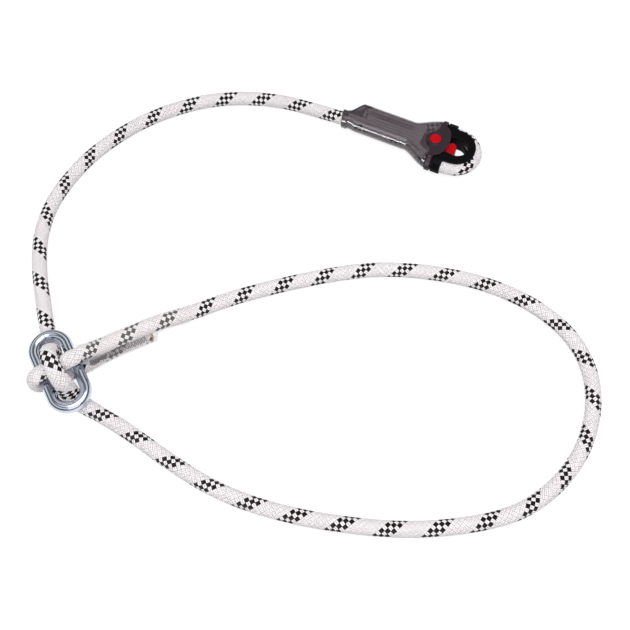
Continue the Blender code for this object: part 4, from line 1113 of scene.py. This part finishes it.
# %% Laid thread ends near the ring
LEAD_FROM = 0.0035
LEAD_OVERLAP = 0.004
LEAD_STEP = 6
LEAD_THREADS = 7
LEAD_RADIUS = 0.00042
LEAD_SPREAD = 0.0052
LEAD_SWAY = 0.0003
LEAD_WAVES = 900.0
LEAD_SINK = 0.0004
LEAD_LAYER = 0.0005

lead = bpy.data.curves.new("laid_thread_ends", "CURVE")
lead.dimensions = "3D"
lead.bevel_depth = LEAD_RADIUS
lead.bevel_resolution = 2
lead.use_fill_caps = True
chosen = np.flatnonzero((pair_run > LEAD_FROM) & (pair_run < SEAM_FROM + LEAD_OVERLAP))[::LEAD_STEP]
for number in range(LEAD_THREADS):
    share = number / (LEAD_THREADS - 1) - 0.5
    level = SEAM_DEPTH - LEAD_SINK - LEAD_LAYER * (number % 2)
    spline = lead.splines.new("POLY")
    spline.points.add(len(chosen) - 1)
    for point, k in zip(spline.points, chosen):
        sway = share * LEAD_SPREAD + LEAD_SWAY * math.sin(LEAD_WAVES * pair_run[k] + 2.0 * number)
        place = pair_middle[k] + pair_across[k] * (sway + SEAM_SHIFT) + pair_outward[k] * level
        point.co = (*place, 1.0)
lead_curve = place_object("laid_thread_curve", lead)
lead_mesh = made_mesh(lead_curve)
bpy.data.objects.remove(lead_curve)
lead_mesh.materials.append(thread)
lead_mesh.shade_smooth()
lead_ends = place_object("laid_thread_ends", lead_mesh)
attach(lead_ends, "adjuster")
print("laid threads:", LEAD_THREADS)

# %% [markdown]
# ## The shrink sleeve
#
# A clear heat-shrink sleeve covers the seam. It hugs both strands, so its section is two half circles
# joined by straight walls, and past the tail it drops on to the standing strand alone. That is a loft:
# one ring of points for each place along the pair, an outer and an inner one, so the wall is real. The
# plastic is milky: it takes a little light itself and lets most of it through.

# %% Loft with a real wall
ARC_POINTS = 19


def loft_shell(name, outer, inner, finish):
    """A tube with a wall, open at both ends, from two lists of rings with as many points each."""
    rows, size = len(outer), len(outer[0])
    corner = np.arange(2 * rows * size).reshape(2 * rows, size)
    corner = np.hstack([corner, corner[:, :1]])
    skins = [cell_corners(corner[:rows]), cell_corners(corner[rows:])[:, :, ::-1]]
    rims = [cell_corners(corner[[rows, 0]]), cell_corners(corner[[rows - 1, -1]])]
    mesh = bpy.data.meshes.new(name)
    mesh.from_pydata([tuple(point) for ring in outer + inner for point in ring], [],
                     np.concatenate(skins + rims).reshape(-1, 4).tolist())
    work = bmesh.new()
    work.from_mesh(mesh)
    if work.calc_volume(signed=True) < 0.0:
        bmesh.ops.reverse_faces(work, faces=work.faces)
    work.to_mesh(mesh)
    work.free()
    mesh.shade_smooth()
    mesh.set_sharp_from_angle(angle=math.radians(50.0))
    mesh.materials.append(finish)
    return place_object(name, mesh)


def strand_arc(centre, direction, away, radius):
    """Half circle about a strand and square to it, bulging away from the other strand."""
    out = (away - direction * away.dot(direction)).normalized()
    side = direction.cross(out)
    return [centre + radius * (math.cos(angle) * out + math.sin(angle) * side)
            for angle in np.linspace(-math.pi / 2, math.pi / 2, ARC_POINTS)]


print("points in a ring of the sleeve:", 2 * ARC_POINTS)

# %% Sleeve stations
SLEEVE_START_STEP = 7
SLEEVE_STEP = 4
TAIL_COVER = 0.0004
TAIL_DROP_LENGTH = 0.0038
TAIL_DROP_COUNT = 15
BARE_COUNT = 30

stations = []
for step in range(SLEEVE_START_STEP, PAIR_STEPS + 1, SLEEVE_STEP):
    upper, lower = Vector(pair_upper[step]), Vector(pair_lower[step])
    stations.append((upper, lower, upper - lower))
both = len(stations) - 1
last_reach = stations[both][2]
drop_end = TAIL_COVER + TAIL_DROP_LENGTH
aheads = np.concatenate([
    np.linspace(TAIL_COVER, drop_end, TAIL_DROP_COUNT),
    np.linspace(drop_end, RUN_AT["pair_far_upper"] - RUN_AT["sleeve_end"], BARE_COUNT)[1:],
])
for ahead, place in zip(aheads, read_rows(RUN_AT["pair_far_upper"] - aheads, RUN, LINE)):
    upper = Vector(place)
    share = 1.0 - eased((ahead - TAIL_COVER) / TAIL_DROP_LENGTH)
    stations.append((upper, upper - last_reach * share, last_reach))
print("sleeve stations:", len(stations))

# %% Milky clear plastic
MILKY = rgb(248, 240, 240)
MILKY_ALPHA = 0.06
MILKY_EDGE = 0.24


def grazing(tree, blend):
    """0 where a surface is seen square on, rising to 1 at its outline."""
    return put(tree, "ShaderNodeLayerWeight", {"Blend": blend}, "Facing").math("POWER", 2.0)


milky, tree = new_material("milky_clear_plastic", IOR=1.4)
toned(tree, MILKY, 0.012, 0.08, 0.32)
dress(tree, Alpha=grazing(tree, 0.25) * MILKY_EDGE + MILKY_ALPHA)
print("milky plastic:", len(tree.nodes), "nodes")

# %% Sleeve
CREASE = 0.00010
END_LIP = 0.0002

inside = ROPE_RADIUS + SLEEVE_CLEARANCE
outer_rings, inner_rings = [], []
for k, (upper, lower, toward) in enumerate(stations):
    before, after = stations[max(0, k - 1)], stations[min(len(stations) - 1, k + 1)]
    along_upper = (after[0] - before[0]).normalized()
    along_lower = (after[1] - before[1]).normalized() if k < both else along_upper
    crease = CREASE * math.sin(0.9 * k) * math.sin(0.23 * k)
    lip = END_LIP if k == len(stations) - 1 else 0.0
    for rings, radius in ((inner_rings, inside), (outer_rings, inside + SLEEVE_WALL + crease - lip)):
        rings.append(strand_arc(upper, along_upper, toward, radius)
                     + strand_arc(lower, along_lower, -toward, radius))
sleeve = loft_shell("milky_shrink_sleeve", outer_rings, inner_rings, milky)
declare(sleeve, "adjuster_sleeve", "adjuster")

# %% [markdown]
# ## The cover at the thimble
#
# The other sewn end sits in a moulded cover of soft smoky plastic. It starts in a thick collar round the
# rope, widens over a shoulder to both strands and flares where the strands part round the thimble. Its
# section is an oblong with round sides whose flat faces sink a little between the strands. The collar
# and the web beside the single rope are thick, so they look darker: the loft stores that thickness
# as an attribute, and the finish turns it into less see-through.

# %% Cover sections
COVER_WALL = 0.0007
COVER_CLEARANCE = 0.0006
COVER_HALF_WIDTH = 0.0132
COVER_HALF_THICKNESS = ROPE_RADIUS + COVER_CLEARANCE + COVER_WALL
MOUTH_HALF_WIDTH = 0.0074
MOUTH_TILT = math.radians(12.0)
RIM_LENGTH = 0.0007
RIM_ROUND = 0.0003
COLLAR_LENGTH = 0.0038
COLLAR_STEP = 0.0014
COLLAR_SHIFT = 0.0010
NECK_STEP = 0.0001
SHOULDER_START = MOUTH_U + 0.0050
SHOULDER_END = 0.0118
FLARE_NARROWS = 0.0007
FLARE_BLEND = 0.0006
FACE_SINK = 0.0005
SIDE_POINTS = 25
FACE_POINTS = 14


def cover_section(u):
    """Middle, half width, half thickness, wall and tilt of the cover at a place along the sewn end."""
    ahead = u - MOUTH_U
    from_rim = 1.0 - min(1.0, ahead / RIM_LENGTH)
    collar = MOUTH_HALF_WIDTH - RIM_ROUND * (1.0 - math.sqrt(1.0 - from_rim ** 2))
    collar_end = eased((ahead - COLLAR_LENGTH) / COLLAR_STEP)
    shoulder = eased((u - SHOULDER_START) / (SHOULDER_END - SHOULDER_START))
    neck = collar - NECK_STEP * collar_end
    half = neck + (COVER_HALF_WIDTH - neck) * shoulder
    thick = neck + (COVER_HALF_THICKNESS - neck) * shoulder
    wall = collar - ROPE_RADIUS - COVER_CLEARANCE
    wall += (COVER_WALL - wall) * collar_end
    middle = (COLLAR_SHIFT * collar_end - HALF_STRANDS - MOUTH_DROP) * (1.0 - shoulder)
    if u > SPREAD_START:
        slope = (strand_offset(u + 0.0005) - strand_offset(u - 0.0005)) / 0.001
        hug = strand_offset(u) + (ROPE_RADIUS + COVER_CLEARANCE) * math.hypot(1.0, slope) + COVER_WALL
        straight = COVER_HALF_WIDTH - FLARE_NARROWS * eased((u - SPREAD_START) / 0.004)
        half = (straight + hug + math.hypot(straight - hug, FLARE_BLEND)) / 2
    return middle, half, thick, wall, MOUTH_TILT * (1.0 - shoulder)


def face_sink(u):
    """How far the cover's flat faces sink between the strands at a place along the sewn end."""
    return FACE_SINK * eased((u - SHOULDER_END) / 0.006) * (1.0 - eased((u - SPREAD_START) / 0.012))


def cover_ring(u, inset):
    """One ring of the cover, round at its sides; inset is 0 for its outside and 1 for its inside."""
    middle, half, thick, wall, tilt = cover_section(u)
    half -= inset * wall
    thick -= inset * wall
    corner = min(half, thick)
    flat = max(half - corner, 0.0)
    turn = [(flat + corner * math.cos(angle), thick * math.sin(angle))
            for angle in np.linspace(-math.pi / 2, math.pi / 2, SIDE_POINTS)]
    turn += [(flat * share, thick) for share in np.linspace(1.0, -1.0, FACE_POINTS)[1:-1]]
    points = []
    for across, height in turn + [(-across, -height) for across, height in turn]:
        if flat > 0.001 and abs(across) < flat:
            height -= math.copysign(face_sink(u) * math.cos(math.pi * across / (2 * flat)) ** 2, height)
        points.append(END_FRAME @ Vector((u - across * math.tan(tilt), middle + across, height)))
    return points


print("cover is", round(1000 * (COVER_END_U - MOUTH_U), 1), "mm long")

# %% Smoky plastic
SMOKE = rgb(54, 34, 46)
SMOKE_ALPHA = 0.43
SMOKE_THICK = 0.50
SMOKE_EDGE = 0.30
SMOKE_MOST = 0.97

smoky, tree = new_material("smoky_soft_plastic", IOR=1.5, Specular_IOR_Level=0.6, Coat_Weight=1.0,
                           Coat_Roughness=0.05)
toned(tree, SMOKE, 0.008, 0.04, 0.08)
alpha = painted(tree, "thick") * SMOKE_THICK + SMOKE_ALPHA
alpha = grazing(tree, 0.3) * SMOKE_EDGE + alpha
dress(tree, Alpha=alpha.math("MINIMUM", SMOKE_MOST))
print("smoky plastic:", len(tree.nodes), "nodes")

# %% Cover
COLLAR_THICK = 0.52
COLLAR_END_U = MOUTH_U + 0.0042
COLLAR_FADE = 0.0012
WEB_START_V = -0.0005
WEB_RISE = 0.0020
WEB_END_U = TAIL_U - 0.0040
WEB_SLANT = 0.5
WEB_FADE = 0.0030
RIM_THICK = 0.6
RIM_START_U = COVER_END_U - 0.0022
RIM_RISE = 0.0008
COVER_STOPS = (MOUTH_U, MOUTH_U + RIM_LENGTH, SHOULDER_END, SPREAD_START, COVER_END_U)
COVER_ROWS = (6, 34, 34, 40)
END_INVERSE = END_FRAME.inverted()


def thick_share(u, v):
    """How thick the cover is at a place, from 0 for its plain wall to 1 for the web."""
    collar = 1.0 - eased((u - COLLAR_END_U) / COLLAR_FADE)
    web = eased((v - WEB_START_V) / WEB_RISE) * (1.0 - eased((u - WEB_END_U - WEB_SLANT * v) / WEB_FADE))
    rim = eased((u - RIM_START_U) / RIM_RISE)
    return max(COLLAR_THICK * collar, web, RIM_THICK * rim)


places = [place for first, last, count in zip(COVER_STOPS, COVER_STOPS[1:], COVER_ROWS)
          for place in np.linspace(first, last, count)[:-1]]
places.append(COVER_END_U)
outer_rings = [cover_ring(u, 0.0) for u in places]
inner_rings = [cover_ring(u, 1.0) for u in places]
cover = loft_shell("smoky_cover", outer_rings, inner_rings, smoky)
thickness = [thick_share(u, (END_INVERSE @ point).y) for u, ring_points in zip(places, outer_rings)
             for point in ring_points]
store(cover.data, "thick", thickness + thickness)
declare(cover, "termination_cover", "termination")

# %% [markdown]
# ## The card and the seam inside the cover
#
# A pale card lies between the rope and the front of the cover and wraps a little way round both
# strands. On the real object it is printed; here it is a blank form with a few ruled lines. The card
# is a grid that is cut to rounded corners, laid over the strands and then given its thickness. It keeps
# its own measure along and across as attributes, and the lines are drawn on those.

# %% Card over the strands
CARD_THICKNESS = 0.0003
CARD_START_U = 0.0180
CARD_LENGTH = COVER_END_U - 0.0095 - CARD_START_U
CARD_WIDTH = 0.0235
CARD_SHIFT = -0.0006
CARD_CORNER = 0.0022
CARD_HEIGHT = ROPE_RADIUS + COVER_CLEARANCE / 2
STRAIGHT_ALONG = CARD_LENGTH / 2 - CARD_CORNER
STRAIGHT_ACROSS = CARD_WIDTH / 2 - CARD_CORNER


def card_place(u, across):
    """A point of the card: flat between the strands' axes, then round the outside of each strand."""
    flat = strand_offset(u)
    past = abs(across) - flat
    if past <= 0.0:
        sink = face_sink(u) * math.cos(math.pi * across / (2 * flat)) ** 2
        return END_FRAME @ Vector((u, across, CARD_HEIGHT - sink))
    angle = past / CARD_HEIGHT
    reach = math.copysign(flat + CARD_HEIGHT * math.sin(angle), across)
    return END_FRAME @ Vector((u, reach, CARD_HEIGHT * math.cos(angle)))


work = bmesh.new()
bmesh.ops.create_grid(work, x_segments=130, y_segments=64, size=0.5)
measures = [work.verts.layers.float.new(label) for label in ("card_along", "card_across")]
for vert in work.verts:
    along, across = vert.co.x * CARD_LENGTH, vert.co.y * CARD_WIDTH
    past = Vector((max(0.0, abs(along) - STRAIGHT_ALONG), max(0.0, abs(across) - STRAIGHT_ACROSS)))
    if past.x > 0.0 and past.y > 0.0:
        past = past.normalized() * max(past.x, past.y)
        along = math.copysign(STRAIGHT_ALONG + past.x, along)
        across = math.copysign(STRAIGHT_ACROSS + past.y, across)
    vert[measures[0]], vert[measures[1]] = along, across
    vert.co = card_place(CARD_START_U + CARD_LENGTH / 2 + along, across + CARD_SHIFT)
card_mesh = bpy.data.meshes.new("blank_card")
work.to_mesh(card_mesh)
work.free()
card_mesh.shade_smooth()
label = place_object("blank_card", card_mesh)
card_wall = label.modifiers.new("card_thickness", "SOLIDIFY")
card_wall.thickness = CARD_THICKNESS
card_wall.offset = 0.0
print("card:", round(1000 * CARD_LENGTH, 1), "by", round(1000 * CARD_WIDTH, 1), "mm")

# %% Card's finish
CARD_PALE = rgb(214, 204, 210)
INK = rgb(70, 62, 70)
INK_STRENGTH = 0.75
LINE_HALF = 0.00016
RULED_LINES = (0.0056, 0.0026, -0.0004, -0.0034)
RULED_HALF_LENGTH = 0.0185

card, tree = new_material("bare_satin_card")
even = toned(tree, CARD_PALE, 0.003, 0.12, 0.5)
card_along, card_across = painted(tree, "card_along"), painted(tree, "card_across")
ink = 0.0
for line_at in RULED_LINES:
    ink = (abs(card_across - line_at) < LINE_HALF).math("MAXIMUM", ink)
ink = ink * (abs(card_along) < RULED_HALF_LENGTH) * INK_STRENGTH
dress(tree, Base_Color=mix(tree, ink, even, INK), Normal=bump(tree, even.output("Grain"), 0.00002, 0.4))
card_mesh.materials.append(card)
declare(label, "identification_label", "termination")

# %% [markdown]
# Inside the cover the two strands lie side by side and run straight, so their valleys face up and down
# and a straight path is enough on each face. The tree that sewed the seam at the ring sews these two as
# well, with thicker thread and a stronger lean.

# %% Seam at the thimble
END_SEAM_INSET = 0.0030
END_SEAM_HEIGHT = 0.0047
END_SEAM = {"Pitch": 0.00125, "Reach": 0.0036, "Bow": 0.0004, "Thread": 0.0006, "Lean": 0.18, "Seed": 8}

end_across = tuple(END_FRAME.to_3x3() @ Vector((0.0, 1.0, 0.0)))
spots = np.linspace(TAIL_U + END_SEAM_INSET, SPREAD_START - END_SEAM_INSET, 60)
for face, node in ((1.0, "termination_stitching_front"), (-1.0, "termination_stitching_back")):
    middles = [END_FRAME @ Vector((u, 0.0, face * END_SEAM_HEIGHT)) for u in spots]
    sew(node, "termination", middles, [end_across] * len(spots), [(0.0, 0.0, face)] * len(spots), END_SEAM)

# %% [markdown]
# ## Moulded plastic
#
# Thimble, yokes and keeper are moulded, and a moulded piece has no knife edges: each corner is rounded
# by the mould and then worn a little paler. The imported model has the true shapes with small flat
# facets. So a copy of each is welded, remeshed into small even cells and smoothed, which rounds all
# its edges alike. How far each point bulges is then measured and stored, so the finish can wear them.

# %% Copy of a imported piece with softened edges
WELD_DISTANCE = 1e-6
SHARPEST_BULGE = 900.0


def read_mesh(items, field, width, kind=np.float32):
    """One field of a mesh's points or edges, as rows of numbers."""
    rows = np.empty(len(items) * width, dtype=kind)
    items.foreach_get(field, rows)
    return rows.reshape(-1, width)


def moulded(node, voxel, rounds, finish):
    """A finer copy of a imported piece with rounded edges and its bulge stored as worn_edge."""
    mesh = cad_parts[node].data.copy()
    work = bmesh.new()
    work.from_mesh(mesh)
    bmesh.ops.remove_doubles(work, verts=work.verts, dist=WELD_DISTANCE)
    work.to_mesh(mesh)
    work.free()
    item = place_object("moulded_" + node, mesh)
    cells = item.modifiers.new("even_cells", "REMESH")
    cells.mode = "VOXEL"
    cells.voxel_size = voxel
    soften = item.modifiers.new("rounded_edges", "SMOOTH")
    soften.factor = 0.5
    soften.iterations = rounds
    result = made_mesh(item)
    item.modifiers.clear()
    item.data = result
    result.name = item.name
    points = read_mesh(result.vertices, "co", 3)
    facing = read_mesh(result.vertices, "normal", 3)
    near_end, far_end = read_mesh(result.edges, "vertices", 2, np.int32).T
    step = points[far_end] - points[near_end]
    bulge = ((facing[far_end] - facing[near_end]) * step).sum(axis=1) / (step ** 2).sum(axis=1)
    total, edge_count = np.zeros(len(points)), np.zeros(len(points))
    for edge_end in (near_end, far_end):
        np.add.at(total, edge_end, bulge)
        np.add.at(edge_count, edge_end, 1.0)
    store(result, "worn_edge", np.clip(total / np.maximum(edge_count, 1.0) / SHARPEST_BULGE, 0.0, 1.0))
    result.shade_smooth()
    result.materials.clear()
    result.materials.append(finish)
    return item


# %% Shader group for worn edges
WORN_ROUGHER = 0.15

wear, entry, leave = new_group(
    "ShaderNodeTree", "edge_wear",
    {"Colour": (0.1, 0.1, 0.1, 1.0), "Worn Colour": (0.3, 0.3, 0.3, 1.0), "Bulge": 0.0, "Amount": 0.5,
     "Roughness": 0.4},
    {"Colour": "Color", "Roughness": "Float"})
edge = ramp(entry["Bulge"], 0.12, 0.75) * ramp(noise(wear, 420.0, 5.0), 0.35, 0.65) * entry["Amount"]
feed(wear, leave["Colour"], mix(wear, edge, entry["Colour"], entry["Worn Colour"]))
feed(wear, leave["Roughness"], edge * WORN_ROUGHER + entry["Roughness"])


def plastic(name, colour, worn, roughness, amount, grain, specular):
    """A moulded plastic: uneven tone, worn edges and a fine grain."""
    material, tree = new_material(name, Specular_IOR_Level=specular)
    even = toned(tree, colour, 0.005, 0.16, roughness)
    aged = put(tree, "ShaderNodeGroup",
               {"Colour": even, "Worn Colour": worn, "Bulge": painted(tree, "worn_edge"),
                "Amount": amount, "Roughness": even.output("Roughness")}, node_tree=wear)
    dress(tree, Base_Color=aged, Roughness=aged.output("Roughness"),
          Normal=bump(tree, even.output("Grain"), grain, 0.5))
    return material


black_plastic = plastic("black_satin_plastic", rgb(10, 8, 11), rgb(46, 42, 45), 0.42, 0.4, 0.00006, 0.06)
red_plastic = plastic("red_gloss_plastic", rgb(186, 4, 16), rgb(210, 36, 40), 0.30, 0.3, 0.00003, 0.08)
dark_plastic = plastic("dark_translucent_plastic", rgb(44, 30, 39), rgb(84, 66, 78), 0.34, 0.4, 0.00005,
                       0.25)
print("wear group:", len(wear.nodes), "nodes")

# %% [markdown]
# The yokes are cast from the same smoky plastic as the cover, but thicker, so hardly any light comes
# through. The keeper lies just below, and the red light it would send through them is painted into their
# colour: a soft red spot about the keeper's arm, placed with a Mapping node on the object's own
# coordinates.

# %% Painted red show-through of the keeper on the yokes
TINT_PLACE = END_FRAME @ Vector((PIVOT_U + 0.0100, -0.0035, 0.0))
TINT_REACH = 0.0065
TINT_STRENGTH = 0.45
SHOWTHROUGH_RED = rgb(112, 20, 34)

tree = dark_plastic.node_tree
yoke_colour = Value(tree, tree.nodes["Principled BSDF"].inputs["Base Color"].links[0].from_socket)
where = put(tree, "ShaderNodeTexCoord", output="Object")
centred = put(tree, "ShaderNodeMapping",
              {"Vector": where, "Location": tuple(-TINT_PLACE), "Scale": (1.0, 1.0, 0.0)})
# Painted red show-through: a soft red spot mixed into the yoke's colour.
painted_showthrough = (1.0 - ramp(length(centred), TINT_REACH * 0.2, TINT_REACH)) * TINT_STRENGTH
dress(tree, Base_Color=mix(tree, painted_showthrough, yoke_colour, SHOWTHROUGH_RED))
print("tint at", [round(value, 4) for value in TINT_PLACE])

# %% Thimble, yokes and keeper
MOULDED = {
    "thimble": (0.00030, 4, black_plastic, "black_plastic", "termination"),
    "yoke_front": (0.00022, 2, dark_plastic, "dark_plastic", "termination"),
    "yoke_back": (0.00022, 2, dark_plastic, "dark_plastic", "termination"),
    "keeper_lever": (0.00018, 2, red_plastic, "red_plastic", "keeper"),
    "keeper_pivot": (0.00012, 2, red_plastic, "red_plastic", "keeper"),
    "keeper_pivot_cap": (0.00012, 2, red_plastic, "red_plastic", "keeper"),
}
for node, (voxel, rounds, finish, slot_name, body) in MOULDED.items():
    piece = moulded(node, voxel, rounds, finish)
    declare(piece, node, body)
    if node == "thimble":
        keep_strip_off(piece)

# %% [markdown]
# Between the cover, the yokes and the thimble's ears there are slits of half a millimetre. Thin black
# cuffs run on from the ears below the yokes: a dark sheet that stands in for the shade deep in the slits,
# so the slits look black and not white. Each cuff is a short loft about the rope's own middle line.

# %% Black cuffs under the yokes, standing in for the slits' shade
CUFF_FROM_U = COVER_END_U - 0.0015
CUFF_TO_U = EYE_CENTRE_U - 0.0080
CUFF_GAP = 0.00006
CUFF_WALL = 0.00016
CUFF_SIDES = 40


def rope_rings(rows, radius):
    """Rings about the rope's middle line at some of its stations."""
    angle = np.linspace(0.0, 2.0 * math.pi, CUFF_SIDES, endpoint=False)[:, None]
    return [centres[row] + radius * (np.cos(angle) * normals[row]
                                     + np.sin(angle) * np.cross(tangents[row], normals[row]))
            for row in rows]


end_centres = centres[STATIONS < RUN_AT["mouth"]]
end_u, end_v = np.array([tuple((END_INVERSE @ Vector(centre)).xy) for centre in end_centres]).T
# Each cuff is a dark sheet standing in for the shade in a slit.
for side, word in ((1.0, "upper"), (-1.0, "lower")):
    rows = np.flatnonzero((end_u > CUFF_FROM_U) & (end_u < CUFF_TO_U) & (side * end_v > 0.0))
    cuff = loft_shell(f"slit_shade_cuff_{word}", rope_rings(rows, ROPE_RADIUS + CUFF_GAP + CUFF_WALL),
                      rope_rings(rows, ROPE_RADIUS + CUFF_GAP), black_plastic)
    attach(cuff, "termination")
    print(cuff.name, len(cuff.data.polygons), "faces")
